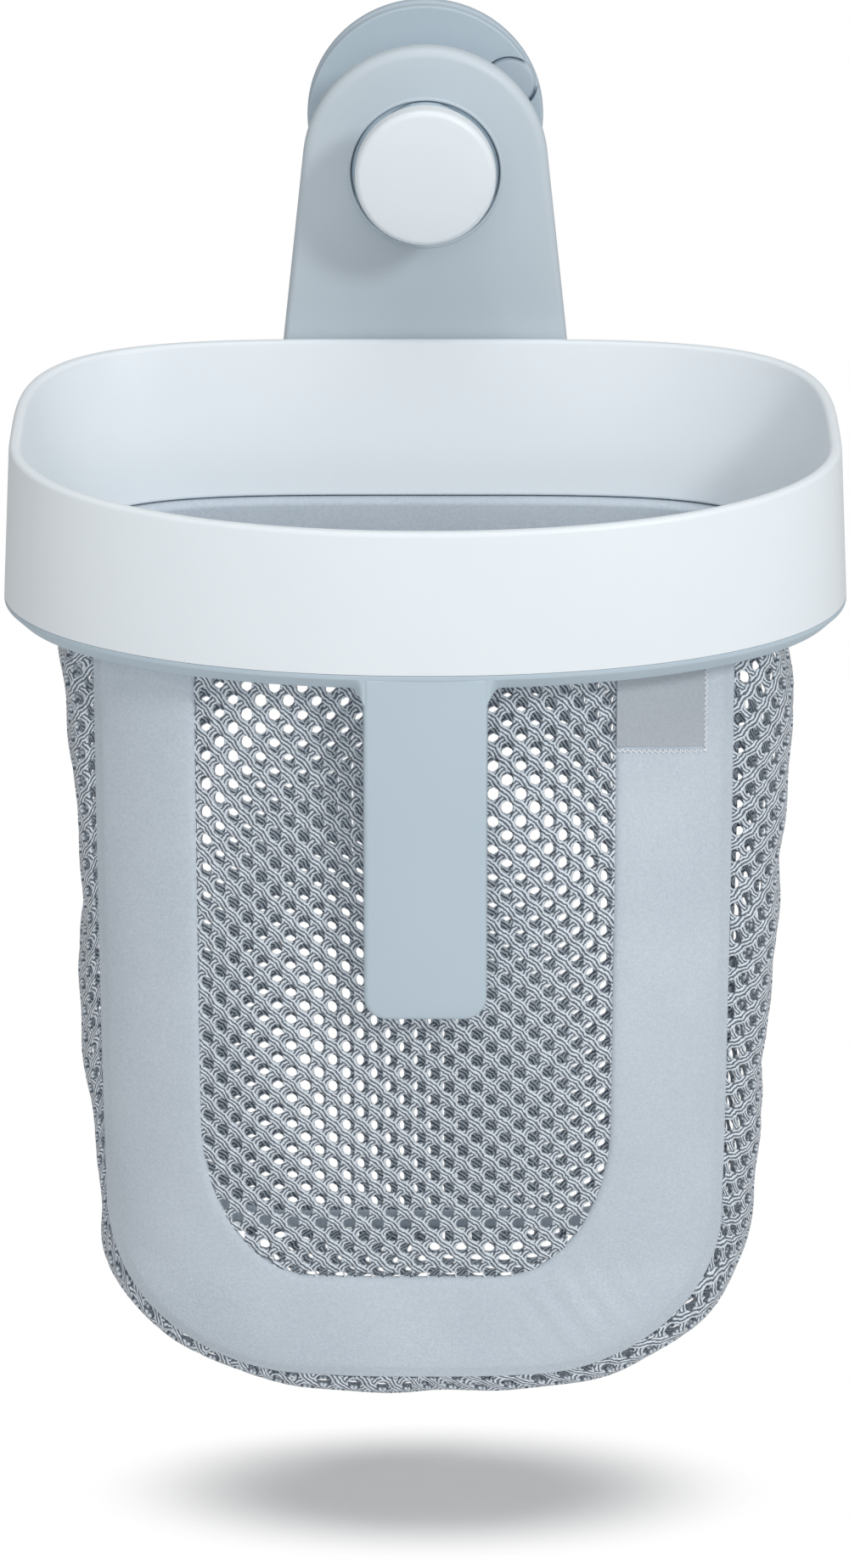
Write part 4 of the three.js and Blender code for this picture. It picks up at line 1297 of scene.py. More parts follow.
def grow(piece: Object, tree: NodeTree, values: dict[str, Any]) -> None:
    """Puts a Geometry Nodes tree on a piece and sets its inputs by the sockets' identifiers.

    Args:
        piece: What the tree starts from.
        tree: The tree.
        values: The value of each named input.
    """
    modifier = piece.modifiers.new(tree.name, "NODES")
    modifier.node_group = tree
    for item in tree.interface.items_tree:
        if item.item_type == "SOCKET" and item.in_out == "INPUT" and item.name in values:
            modifier[item.identifier] = values[item.name]


@dataclass(frozen=True)
class PanelOutline:
    """A U-shaped panel outline, open at the top, as x and z."""

    top_half: float
    low_half: float
    top_z: float
    bottom_z: float
    corner_width: float
    corner_height: float
    shift: float = 0.0
    side_share: float = 0.36
    corner_share: float = 0.11

    def point(self, share: float) -> Point2:
        """Finds a point of the outline.

        Args:
            share: Place from the left top, at 0, round the bottom to the right top, at 1.

        Returns:
            The point as x and z.
        """
        mirrored = share > 0.5
        part = 1 - share if mirrored else share
        corner_z = self.bottom_z + self.corner_height
        flat = self.low_half - self.corner_width
        if part <= self.side_share:
            fall = part / self.side_share
            x = self.top_half + (self.low_half - self.top_half) * fall
            z = self.top_z + (corner_z - self.top_z) * fall
        elif part <= self.side_share + self.corner_share:
            angle = math.pi / 2 * (part - self.side_share) / self.corner_share
            x = flat + self.corner_width * math.cos(angle)
            z = corner_z - self.corner_height * math.sin(angle)
        else:
            x = flat * (0.5 - part) / (0.5 - self.side_share - self.corner_share)
            z = self.bottom_z
        return self.shift + (x if mirrored else -x), z

    def line(self, count: int = 241) -> Array:
        """Returns points along the outline, shaped count, 2."""
        return np.array([self.point(share) for share in np.linspace(0, 1, count)])

    def size(self) -> Point2:
        """Returns the panel's width and height."""
        return 2 * max(self.top_half, self.low_half), self.top_z - self.bottom_z

    def area(self) -> float:
        """Returns the area inside the outline, closed across its top."""
        x, z = self.line().T
        return float(abs(np.dot(x, np.roll(z, -1)) - np.dot(z, np.roll(x, -1))) / 2)

    def inside(self, x: Array, z: Array) -> Array:
        """Returns how far points lie inside the outline, negative outside.

        Args:
            x: Places across.
            z: Heights.

        Returns:
            Signed distances to the U-shaped edge.
        """
        far_above = 1.0
        edge = self.line()
        starts, spans = edge[:-1], np.diff(edge, axis=0)
        places = np.stack([x.ravel(), z.ravel()], axis=1)[:, None, :]
        along = ((places - starts) * spans).sum(-1) / np.maximum((spans * spans).sum(-1), TINIEST)
        nearest = starts + np.clip(along, 0, 1)[..., None] * spans
        distance = np.linalg.norm(places - nearest, axis=-1).min(axis=1)
        loop = np.vstack([edge, [[edge[-1][0], far_above], [edge[0][0], far_above]]])
        inside = np.zeros(len(distance), bool)
        px, pz = x.ravel(), z.ravel()
        for (ax, az), (bx, bz) in zip(loop, np.roll(loop, -1, axis=0)):
            crosses = (az > pz) != (bz > pz)
            with np.errstate(divide="ignore", invalid="ignore"):
                at = ax + (pz - az) * (bx - ax) / (bz - az)
            inside ^= crosses & (px < at)
        return np.where(inside, distance, -distance).reshape(x.shape)


def unit_normals(points: Array) -> Array:
    """Finds the unit normals of a grid.

    Args:
        points: Grid of points shaped rows, columns, 3.

    Returns:
        The normals in the same shape.
    """
    along = np.gradient(points, axis=0)
    across = np.gradient(points, axis=1)
    normal = np.cross(along, across)
    return normal / np.maximum(np.linalg.norm(normal, axis=2, keepdims=True), TINIEST)


def grid_lengths(points: Array) -> tuple[Array, Array]:
    """Measures a cloth grid along its middle line and across it.

    Args:
        points: Grid of points shaped rows, columns, 3.

    Returns:
        Flat distances across from the middle column, and along the middle column.
    """
    steps = np.linalg.norm(np.diff(points, axis=1), axis=2)
    across = np.concatenate([np.zeros((len(points), 1)), np.cumsum(steps, axis=1)], axis=1)
    middle = points.shape[1] // 2
    across = across - across[:, middle:middle + 1]
    falls = np.linalg.norm(np.diff(points[:, middle], axis=0), axis=1)
    along = np.concatenate([[0], np.cumsum(falls)])
    return across, np.repeat(along[:, None], points.shape[1], axis=1)


@dataclass(frozen=True)
class NetWeaver:
    """Knits nets with real holes onto curved carriers, by Geometry Nodes."""

    column_pitch: float = NET_COLUMN_PITCH
    row_pitch: float = NET_ROW_PITCH
    hole_half_width: float = 0.0015
    hole_half_height: float = 0.00192
    thickness: float = 0.0008
    merge_distance: float = 0.00006
    spare_cells: int = 3

    def cell(self) -> Object:
        """Builds one flat mesh of the net: a rectangle with an oval hole.

        Returns:
            The cell, centred on its hole.
        """
        half, quarter = self.column_pitch / 2, self.row_pitch / 4
        border = [(half, step * quarter) for step in (-2, -1, 0, 1, 2)]
        border += [(0, 2 * quarter)]
        border += [(-half, step * quarter) for step in (2, 1, 0, -1, -2)]
        border += [(0, -2 * quarter)]
        count = len(border)
        vertices = [(x, y, 0.0) for x, y in border]
        for angle in (math.atan2(y / self.row_pitch, x / self.column_pitch) for x, y in border):
            hole_x, hole_y = self.hole_half_width * math.cos(angle), self.hole_half_height * math.sin(angle)
            vertices.append((hole_x, hole_y, 0.0))
        faces = [(i, (i + 1) % count, count + (i + 1) % count, count + i) for i in range(count)]
        blank = bpy.data.materials.new("net_blank")
        return mesh_piece("net_cell", vertices, faces, blank, recalculate=False)

    def tree(self) -> NodeTree:
        """Makes the tree that fills a carrier's flat pattern with cells and lays them on the carrier.

        Returns:
            The Geometry Nodes tree.
        """
        sketch, given = new_tree("net_knitting", {
            "Carrier": "Geometry", "Cell": "Object", "Columns": "Int", "Rows": "Int",
            "Column Pitch": "Float", "Row Pitch": "Float", "Overlap": "Float", "Finish": "Material"})
        width = sketch.math("MULTIPLY", given["Column Pitch"], sketch.math("SUBTRACT", given["Columns"], 1.0))
        height = sketch.math("MULTIPLY", given["Row Pitch"], sketch.math("SUBTRACT", given["Rows"], 1.0))
        grid = sketch.add("GeometryNodeMeshGrid", {
            "Size X": width, "Size Y": height, "Vertices X": given["Columns"], "Vertices Y": given["Rows"]})
        dots = sketch.add("GeometryNodeMeshToPoints", {"Mesh": grid.outputs["Mesh"]})
        split = sketch.add("ShaderNodeSeparateXYZ", {0: sketch.position()})
        column = sketch.math("ROUND", sketch.math("DIVIDE", split.outputs[0], given["Column Pitch"]))
        odd = sketch.math("MODULO", sketch.math("ABSOLUTE", column), 2.0)
        stagger = sketch.math("MULTIPLY", sketch.math("MULTIPLY", odd, 0.5), given["Row Pitch"])
        offset = sketch.add("ShaderNodeCombineXYZ", {1: stagger}).outputs[0]
        staggered = sketch.add("GeometryNodeSetPosition", {"Geometry": dots.outputs[0], "Offset": offset})
        edge = sketch.named(EDGE_ATTRIBUTE, "FLOAT")
        depth = self.carrier_sample(sketch, given["Carrier"], edge, "FLOAT")
        short = sketch.math("LESS_THAN", depth[0], sketch.math("MULTIPLY", given["Overlap"], -1.0))
        missing = sketch.math("SUBTRACT", 1.0, depth["Is Valid"])
        drop = sketch.math("MAXIMUM", short, missing)
        kept = sketch.add("GeometryNodeDeleteGeometry", {"Geometry": staggered.outputs[0], "Selection": drop})
        cells = sketch.scatter(kept.outputs[0], given["Cell"])
        real = sketch.add("GeometryNodeRealizeInstances", {"Geometry": cells})
        joined = sketch.add("GeometryNodeMergeByDistance", {
            "Geometry": real.outputs[0], "Distance": self.merge_distance})
        marked = sketch.add("GeometryNodeStoreNamedAttribute", {
            "Geometry": joined.outputs[0], "Name": WEAVE_ATTRIBUTE, "Value": sketch.position()},
            data_type="FLOAT_VECTOR", domain="POINT")
        place = self.carrier_sample(sketch, given["Carrier"], sketch.position(), "FLOAT_VECTOR")
        laid = sketch.add("GeometryNodeSetPosition", {"Geometry": marked.outputs[0], "Position": place[0]})
        return sketch.close(laid.outputs[0], given["Finish"])

    @staticmethod
    def carrier_sample(sketch: NodeSketch, carrier: Any, value: Any, data_type: str) -> Any:
        """Adds nodes that read a value of the carrier at a flat place in metres.

        Args:
            sketch: The tree to draw in.
            carrier: The carrier's geometry.
            value: What to read on the carrier.
            data_type: The value's type.

        Returns:
            The outputs of the sampling node.
        """
        scaled = sketch.vector_math("MULTIPLY", sketch.position(), (1 / FLAT_SPAN,) * 3)
        spot = sketch.vector_math("ADD", scaled, (0.5, 0.5, 0.0))
        flat = sketch.named(FLAT_ATTRIBUTE)
        sockets = {"Mesh": carrier, "Value": value, "UV Map": flat, "Sample UV": spot}
        return sketch.add("GeometryNodeSampleUVSurface", sockets, data_type=data_type).outputs

    def knit(self, name: str, node: str, points: Array, edge: Array, overlap: float,
             material: Material, sewn_on: Sequence[Object] = ()) -> None:
        """Knits one net as a plain closed mesh.

        Args:
            name: The piece's name.
            node: The CAD node that it replaces.
            points: Carrier grid shaped rows, columns, 3.
            edge: How far each carrier point lies inside the panel.
            overlap: How far the net runs past the panel's edge, into the seam.
            material: The net finish.
            sewn_on: Pieces that go with the net. Not used.
        """
        rows, columns = points.shape[:2]
        across, along = grid_lengths(points)
        along = along - along.mean()
        carrier = mesh_piece(name, points.reshape(-1, 3), grid_faces(rows, columns), material,
                             recalculate=False)
        flat = np.stack([across / FLAT_SPAN + 0.5, along / FLAT_SPAN + 0.5, np.zeros_like(across)], axis=2)
        store = carrier.data.attributes.new(FLAT_ATTRIBUTE, "FLOAT_VECTOR", "POINT")
        store.data.foreach_set("vector", flat.astype(np.float32).ravel())
        inside = carrier.data.attributes.new(EDGE_ATTRIBUTE, "FLOAT", "POINT")
        inside.data.foreach_set("value", edge.astype(np.float32).ravel())
        cell = self.cell()
        grow(carrier, bpy.data.node_groups.get("net_knitting") or self.tree(), {
            "Cell": cell,
            "Columns": 2 * int((across.max() - across.min()) / 2 / self.column_pitch) + self.spare_cells,
            "Rows": 2 * int((along.max() - along.min()) / 2 / self.row_pitch) + self.spare_cells,
            "Column Pitch": self.column_pitch,
            "Row Pitch": self.row_pitch,
            "Overlap": overlap,
            "Finish": material,
        })
        thick = carrier.modifiers.new("thread", "SOLIDIFY")
        thick.thickness = self.thickness
        thick.offset = 0.0
        bake_modifiers(carrier)
        bpy.data.objects.remove(cell)
        carrier.data.polygons.foreach_set("use_smooth", [True] * len(carrier.data.polygons))
        finish_piece(carrier, Slot.NET, node)


@dataclass
class SeamStitcher:
    """Sets one short stitch on each edge of a line, by Geometry Nodes."""

    half_length: float = 0.0005
    radius: float = 0.00016
    end_round_share: float = 0.7

    def blank(self, material: Material) -> Object:
        """Builds one stitch, a rounded rod along Z.

        Args:
            material: The thread finish.

        Returns:
            The stitch, centred on the origin.
        """
        end_round = self.end_round_share * self.radius
        profile = fillet_path([
            (0, -self.half_length, 0),
            (self.radius, -self.half_length, end_round),
            (self.radius, self.half_length, end_round),
            (0, self.half_length, 0),
        ], steps=2, closed=False)
        vertices, faces = revolve(profile, steps=8)
        return mesh_piece("stitch_blank", [(x, z, y) for x, y, z in vertices], faces, material)

    def tree(self) -> NodeTree:
        """Makes the tree that turns each edge into one stitch along it.

        Returns:
            The Geometry Nodes tree.
        """
        sketch, given = new_tree("seam_stitching", {
            "Line": "Geometry", "Stitch": "Object", "Finish": "Material"})
        ends = sketch.add("GeometryNodeInputMeshEdgeVertices").outputs
        run = sketch.vector_math("SUBTRACT", ends["Position 2"], ends["Position 1"])
        marked = sketch.add("GeometryNodeStoreNamedAttribute", {
            "Geometry": given["Line"], "Name": RUN_ATTRIBUTE, "Value": run},
            data_type="FLOAT_VECTOR", domain="EDGE")
        spots = sketch.add("GeometryNodeMeshToPoints", {"Mesh": marked.outputs[0]}, mode="EDGES")
        along = sketch.named(RUN_ATTRIBUTE)
        turn = sketch.add("FunctionNodeAlignRotationToVector", {"Vector": along}, axis="Z")
        placed = sketch.scatter(spots.outputs[0], given["Stitch"], turn.outputs[0])
        return sketch.close(placed, given["Finish"])

    def sew(self, name: str, line: Sequence, material: Material) -> Object:
        """Sews stitches along a line of points.

        Args:
            name: The piece's name.
            line: The points in order.
            material: The thread finish.

        Returns:
            The stitches as one plain mesh.
        """
        mesh = bpy.data.meshes.new(name)
        mesh.from_pydata(line, [(start, start + 1) for start in range(len(line) - 1)], [])
        stitches = bpy.data.objects.new(name, mesh)
        bpy.context.scene.collection.objects.link(stitches)
        blank = self.blank(material)
        grow(stitches, self.tree(), {"Stitch": blank, "Finish": material})
        bake_modifiers(stitches)
        bpy.data.objects.remove(blank)
        smooth(stitches, sharp_degrees=60.0)
        return stitches


@dataclass(frozen=True)
class Swell:
    """A soft hump that stands out at one height."""

    size: float
    middle_z: float
    spread: float

    def at(self, z: float) -> float:
        """Returns how far the hump stands out at a height."""
        return self.size * math.exp(-((z - self.middle_z) / self.spread) ** 2)


@dataclass(frozen=True)
class Ripple:
    """Soft waves of a height along a piece of cloth, with their length for one radian."""

    height: float
    length: float
    phase: float = 0.0

    def at(self, place: Array) -> Array:
        """Returns the waves' heights at places along the cloth."""
        return self.height * np.sin(place / self.length + self.phase)


@dataclass(frozen=True)
class FoldPatch:
    """A soft-edged patch of the front panel that holds small folds."""

    middle: Point2
    spread: Point2

    def at(self, x: Array, z: Array) -> Array:
        """Returns the patch's strength, which is 1 at its middle."""
        (middle_x, middle_z), (spread_x, spread_z) = self.middle, self.spread
        return np.exp(-((x - middle_x) / spread_x) ** 2 - ((z - middle_z) / spread_z) ** 2)


@dataclass
class NetBag:
    """The bag: front net, front cloth band, gusset, back net, hem and bare label."""

    palette: Palette
    rim: DPlan = DPlan()
    hem_inset: float = 0.0148
    wall: float = 0.002
    seam_z: float = -0.088
    ring_bottom_z: float = -0.0926
    bead_z: float = -0.087
    bead_height: float = 0.0033
    bead_inset: float = 0.0115
    corner_z: float = -0.2512
    corner_height: float = 0.038
    corner_width: float = 0.075
    corner_power: float = 2.6
    low_half_width: float = 0.0795
    side_bulge: float = 0.0007
    front_bulge: float = 0.0057
    front_draw_in: float = 0.0057
    back_draw_in: float = 0.004
    edge_radius: float = 0.01
    front_squaring: float = 0.6
    panel_shift: float = -0.0028
    window_shift: float = -0.0047
    label_left: float = 0.0442
    label_width: float = 0.0206
    label_height: float = 0.0205
    label_slope: float = 0.0033
    label_thickness: float = 0.0007
    label_tuck: float = 0.001
    label_lift: float = 0.0019
    tuck: float = 0.005
    window_overlap: float = 0.0015
    panel_overlap: float = 0.001
    hem_drop: float = 0.003
    tape_width: float = 0.0172
    tape_length: float = 0.47
    right_sag: tuple[Swell, ...] = (Swell(0.0027, -0.128, 0.024),)
    left_sag: tuple[Swell, ...] = (Swell(0.0028, -0.104, 0.012), Swell(-0.0015, -0.155, 0.03))
    weaver: NetWeaver = NetWeaver()

    @property
    def top_z(self) -> float:
        """Returns the height where the panels leave the hem."""
        return self.ring_bottom_z - GAP

    @property
    def bottom_z(self) -> float:
        """Returns the lowest height of the bag."""
        return self.corner_z - self.corner_height

    def window(self) -> PanelOutline:
        """Returns the edge of the front net window."""
        return PanelOutline(top_half=0.0492, low_half=0.049, top_z=self.seam_z, bottom_z=-0.253,
                            corner_width=0.026, corner_height=0.042, shift=self.window_shift)

    def band(self, shift: float) -> PanelOutline:
        """Returns the outer edge of the front band, or of the back panel."""
        return PanelOutline(top_half=0.0752, low_half=0.0748, top_z=self.seam_z, bottom_z=-0.28,
                            corner_width=0.044, corner_height=0.038, shift=shift)

    def plan_at(self, z: float) -> DPlan:
        """Finds the middle of the bag's wall.

        Args:
            z: The height.

        Returns:
            The wall's outline from above at that height.
        """
        least_height = 0.0005
        z = min(self.top_z, max(self.bottom_z + least_height, z))
        fall = min(1.0, (self.top_z - z) / (self.top_z - self.corner_z))
        top = self.rim.inset(self.hem_inset + self.wall / 2)
        bulge = math.sin(math.pi * fall)
        half = top.half_width + (self.low_half_width - top.half_width) * fall ** 2 + self.side_bulge * bulge
        drop = min(1.0, max(0.0, (self.corner_z - z) / self.corner_height))
        turned_in = 1 - (1 - drop ** self.corner_power) ** (1 / self.corner_power)
        edge = min(1.0, max(0.0, 1 - (z - self.bottom_z) / self.edge_radius))
        tuck = self.edge_radius * (1 - math.sqrt(1 - edge * edge))
        return DPlan(
            half_width=half - self.corner_width * turned_in,
            back=top.back + self.back_draw_in * fall * fall + tuck,
            widest=top.widest,
            front=top.front + self.front_bulge * bulge - self.front_draw_in * fall * fall - tuck,
            front_power=self.rim.front_power + self.front_squaring * fall,
            back_power=self.rim.back_power,
        )

    def face_points(self, x: Array, z: Array, at_front: bool) -> Array:
        """Lays places across and heights on the bag's front or back face.

        Args:
            x: Places across, as a grid.
            z: Heights, as a grid.
            at_front: Whether to lay them on the front.

        Returns:
            Points shaped rows, columns, 3.
        """
        depth = np.empty_like(x)
        for index in np.ndindex(x.shape):
            depth[index] = self.plan_at(float(z[index])).side_depth(np.array(x[index]), at_front)
        return np.stack([x, -depth, z], axis=2)

    def panel_grid(self, outline: PanelOutline, at_front: bool, rows: int,
                   columns: int) -> tuple[Array, Array]:
        """Makes the carrier of a flat panel that reaches a little past its outline.

        Args:
            outline: The panel's edge.
            at_front: Whether the panel is the front one.
            rows: Number of points down.
            columns: Number of points across.

        Returns:
            The carrier points, and how far each lies inside the outline.
        """
        half = max(outline.top_half, outline.low_half) + self.tuck
        across = np.linspace(outline.shift - half, outline.shift + half, columns)
        down = np.linspace(self.seam_z, outline.bottom_z - self.tuck, rows)
        x, z = np.meshgrid(across, down)
        below_top = self.seam_z - self.tuck - z
        return self.face_points(x, z, at_front), np.minimum(outline.inside(x, z), below_top)

    def front_net(self) -> None:
        """Knits the front window net."""
        points, edge = self.panel_grid(self.window(), at_front=True, rows=60, columns=41)
        self.weaver.knit("bag_front_net", "bag_front_mesh", points, edge, self.window_overlap,
                         self.palette.net)

    def back_net(self) -> None:
        """Knits the back panel net, with its bound seam."""
        points, edge = self.panel_grid(self.band(0.0), at_front=False, rows=66, columns=55)
        self.weaver.knit("bag_back_net", "bag_back_mesh", points, edge, self.panel_overlap,
                         self.palette.net, sewn_on=[self.back_binding()])

    def gusset_grid(self, rows: int, columns: int) -> tuple[Array, Array]:
        """Makes the carrier of the strip round sides and bottom.

        Args:
            rows: Number of points along the U.
            columns: Number of points across the strip.

        Returns:
            The carrier points, and how far each lies inside the strip's seams.
        """
        tucked = 4
        front, back = self.band(self.panel_shift), self.band(0.0)
        points = np.zeros((rows, columns + 2 * tucked, 3))
        for row, share in enumerate(np.linspace(0, 1, rows)):
            points[row, tucked:-tucked] = self.gusset_rib(share, columns)
            for tuck in range(tucked):
                back_in = (tucked - tuck) / tucked * self.tuck
                points[row, tuck] = self.under_edge(front, share, back_in, True)
                points[row, -1 - tuck] = self.under_edge(back, share, back_in, False)
        across, along = grid_lengths(points)
        low, high = across[:, tucked, None], across[:, -1 - tucked, None]
        from_ends = np.minimum(along, along.max() - along) - self.tuck
        return points, np.minimum(np.minimum(across - low, high - across), from_ends)

    def under_edge(self, outline: PanelOutline, share: float, distance: float, at_front: bool) -> Array:
        """Returns a point that lies inside a panel's edge, just behind the panel.

        Args:
            outline: The panel's outline.
            share: Place along the U.
            distance: How far inside the edge.
            at_front: Whether the panel is the front one.

        Returns:
            The point.
        """
        x, z = outline.point(share)
        middle = np.array([outline.shift, outline.bottom_z + outline.corner_height])
        inward = middle - np.array([x, z])
        if z > middle[1]:
            inward = np.array([inward[0], 0.0])
        inward = inward / max(float(np.linalg.norm(inward)), TINY)
        place = np.array([x, z]) + inward * distance
        return self.face_points(place[:1].reshape(1, 1), place[1:].reshape(1, 1), at_front)[0, 0]

    def silhouette(self, share: float) -> Array:
        """Returns a point of the bag's outermost line.

        Args:
            share: Place along the U.

        Returns:
            The point, with no depth.
        """
        guide = PanelOutline(self.rim.half_width, self.low_half_width, self.seam_z, self.bottom_z,
                             self.corner_width, self.corner_height)
        x, z = guide.point(share)
        if z > self.corner_z:
            x = math.copysign(self.plan_at(z).half_width + self.side_sag(x > 0, z), x)
            return np.array([x, 0.0, z])
        part = (min(share, 1 - share) - guide.side_share) / (0.5 - guide.side_share)
        angle = math.pi / 2 * min(1.0, part)
        power = 2 / self.corner_power
        flat = self.low_half_width - self.corner_width
        across = self.corner_width * abs(math.cos(angle)) ** power + flat * (1 - part)
        drop = self.corner_height * abs(math.sin(angle)) ** power
        return np.array([math.copysign(across, x), 0.0, self.corner_z - drop])

    def side_sag(self, at_right: bool, z: float) -> float:
        """Returns how far the slack side of the gusset hangs out, which differs left and right.

        Args:
            at_right: Whether it is the right side.
            z: The height.

        Returns:
            The distance outwards.
        """
        fade_height = 0.008
        below_ring = min(1.0, max(0.0, (self.ring_bottom_z - z) / fade_height))
        return below_ring * sum(swell.at(z) for swell in (self.right_sag if at_right else self.left_sag))

    def gusset_rib(self, share: float, columns: int) -> Array:
        """Returns one line of the gusset from its front seam to its back seam.

        Args:
            share: Place along the U.
            columns: Number of points.

        Returns:
            Points shaped columns, 3.
        """
        squareness = 3.2
        front, back = self.band(self.panel_shift).point(share), self.band(0.0).point(share)
        ends = [self.face_points(np.array([[p[0]]]), np.array([[p[1]]]), at_front)[0, 0]
                for p, at_front in ((front, True), (back, False))]
        outer = self.silhouette(share)
        across = 0.5 - 0.5 * np.cos(np.linspace(0, math.pi, columns))
        rib = ends[0] + (ends[1] - ends[0]) * across[:, None]
        swell = (1 - np.abs(2 * across - 1) ** squareness) ** (1 / squareness)
        rib[:, 0] += (outer[0] - rib[:, 0]) * swell
        rib[:, 2] += (outer[2] - rib[:, 2]) * swell
        return rib

    def gusset_net(self) -> None:
        """Knits the gusset, slack along its length and pleated at its sides."""
        seam_reach, side_reach = 0.012, 0.03
        pleat_height, pleat_length, pleat_sway = 0.0009, 0.0033, Ripple(0.8, 0.021)
        points, edge = self.gusset_grid(rows=240, columns=36)
        across, along = grid_lengths(points)
        inner = np.clip(edge / seam_reach, 0, 1)
        slack = Ripple(0.0006, 0.0105, 0.7).at(along) + Ripple(0.0004, 0.0043, 2.0).at(along)
        at_sides = np.clip((points[..., 2] - self.corner_z) / side_reach, 0, 1)
        pleats = pleat_height * at_sides * np.sin(across / pleat_length + pleat_sway.at(along))
        points = points + unit_normals(points) * ((slack + pleats) * inner)[..., None]
        self.weaver.knit("bag_gusset_net", "bag_gusset", points, edge, self.panel_overlap,
                         self.palette.net)

    def strip(self, name: str, inner: PanelOutline, outer: PanelOutline, at_front: bool, crown: float,
              wrinkle: float) -> Object:
        """Builds a closed, softly crowned cloth strip between two U outlines.

        Args:
            name: The piece's name.
            inner: The strip's inner edge.
            outer: The strip's outer edge.
            at_front: Whether it lies on the front.
            crown: Height of its middle above the bag's wall.
            wrinkle: Height of its soft folds.

        Returns:
            The strip.
        """
        rows, columns, squareness = 320, 33, 5
        groove_depth, groove_place, groove_spread = 0.5, 0.94, 0.02
        least_rise, least_sink, sink = 0.0005, 0.0004, 0.0006
        shares, widths = np.linspace(0, 1, rows), np.linspace(0, 1, columns)
        edges = np.array([[inner.point(share), outer.point(share)] for share in shares])
        flat = edges[:, None, 0] + (edges[:, None, 1] - edges[:, None, 0]) * widths[None, :, None]
        points = self.face_points(flat[..., 0], flat[..., 1], at_front)
        normal = unit_normals(points)
        outward = -1.0 if at_front else 1.0
        normal *= np.sign((normal[..., 1] * outward).mean())
        groove = groove_depth * np.exp(-((widths - groove_place) / groove_spread) ** 2)
        bulge = np.clip(1 - np.abs(2 * widths - 1) ** squareness, 0, 1) ** 0.5 - groove
        folds = wrinkle * self.soft_folds(flat[..., 0], flat[..., 1])
        rise = (least_rise + crown * bulge)[None, :, None] + folds[..., None] * bulge[None, :, None]
        top = points + normal * rise
        below = points - normal * (least_sink + sink * bulge)[None, :, None]
        section = np.concatenate([top, below[:, ::-1]], axis=1)
        faces = grid_faces(rows, 2 * columns, wrap_columns=True)
        last = (rows - 1) * 2 * columns
        faces += [tuple(range(2 * columns)), tuple(range(last + 2 * columns - 1, last - 1, -1))]
        return mesh_piece(name, section.reshape(-1, 3), faces, self.palette.cloth, sharp_degrees=60.0)

    @staticmethod
    def soft_folds(x: Array, z: Array) -> Array:
        """Returns the height of the band's shallow folds, roughly from -1 to 1.

        Args:
            x: Places across.
            z: Heights.

        Returns:
            Fold heights on the same grid.
        """
        right_height, left_height, slow_height = 0.55, 0.35, 0.4
        slant_x, slant_z, fine_length, fine_sway = 0.9, 0.45, 0.00105, Ripple(0.9, 0.006)
        right = FoldPatch(middle=(0.039, -0.262), spread=(0.015, 0.014)).at(x, z)
        left = FoldPatch(middle=(-0.06, -0.25), spread=(0.03, 0.03)).at(x, z)
        fine = np.sin((slant_x * x + slant_z * z) / fine_length + fine_sway.at(z))
        broad = Ripple(1.0, 0.005).at(x + z)
        slow = Ripple(1.0, 0.031, 1.0).at(x) * Ripple(1.0, 0.043).at(z)
        return right_height * right * fine + left_height * left * broad + slow_height * slow

    def front_band(self) -> None:
        """Builds the U-shaped front band."""
        inner, outer = self.window(), self.band(self.panel_shift)
        band = self.strip("bag_front_cloth", inner, outer, at_front=True, crown=0.0011, wrinkle=0.0007)
        outer.size()
        outer.area() - inner.area()
        finish_piece(band, Slot.CLOTH, "bag_front_band")

    def back_binding(self) -> Object:
        """Builds the narrow bound seam between the back net and the gusset.

        Returns:
            The finished binding.
        """
        outer = self.band(0.0)
        inner = replace(outer, top_half=outer.top_half - self.tuck, low_half=outer.low_half - self.tuck,
                        bottom_z=outer.bottom_z + self.tuck, corner_width=outer.corner_width - self.tuck,
                        corner_height=outer.corner_height - self.tuck)
        binding = self.strip("bag_back_binding", inner, outer, at_front=False, crown=0.0006, wrinkle=0.0002)
        return finish_piece(binding, Slot.CLOTH)

    def hem(self) -> None:
        """Builds the hem tape with its bead."""
        inside, bottom = self.hem_inset + self.wall, self.ring_bottom_z - self.hem_drop
        top = self.bead_z + self.bead_height
        section = fillet_path([
            (self.bead_inset, self.bead_z, 0.0008),
            (self.bead_inset, top, 0.0012),
            (inside, top, 0.0012),
            (inside, bottom, 0.0006),
            (self.hem_inset, bottom, 0.0006),
            (self.hem_inset, self.bead_z, 0.0004),
        ])
        loft = ring_loft(self.rim, lambda depth: section, steps=260)
        hem = mesh_piece("bag_hem_tape", *loft, self.palette.cloth, sharp_degrees=60.0)
        finish_piece(hem, Slot.CLOTH, "bag_hem")

    def label(self) -> None:
        """Builds the bare sewn label on the band."""
        rows, columns = 25, 27
        half = self.label_width / 2
        wide, fall = np.meshgrid(np.linspace(-half, half, columns), np.linspace(0, 1, rows))
        x = self.label_left + half + wide
        slope = self.label_slope * (wide + half) / self.label_width
        z = self.top_z + self.label_tuck - fall * (self.label_height + slope)
        points = self.face_points(x, z, True)
        normal = unit_normals(points)
        normal *= np.sign(-normal[..., 1].mean())
        top = points + normal * self.label_lift
        below = top - normal * self.label_thickness
        vertices = np.concatenate([top.reshape(-1, 3), below.reshape(-1, 3)])
        faces = slab_faces(rows, columns)
        label = mesh_piece("bag_label_tag", vertices, faces, self.palette.label, sharp_degrees=50.0)
        stitches = self.label_stitches()
        finish_piece(label, Slot.LABEL, "bag_label")

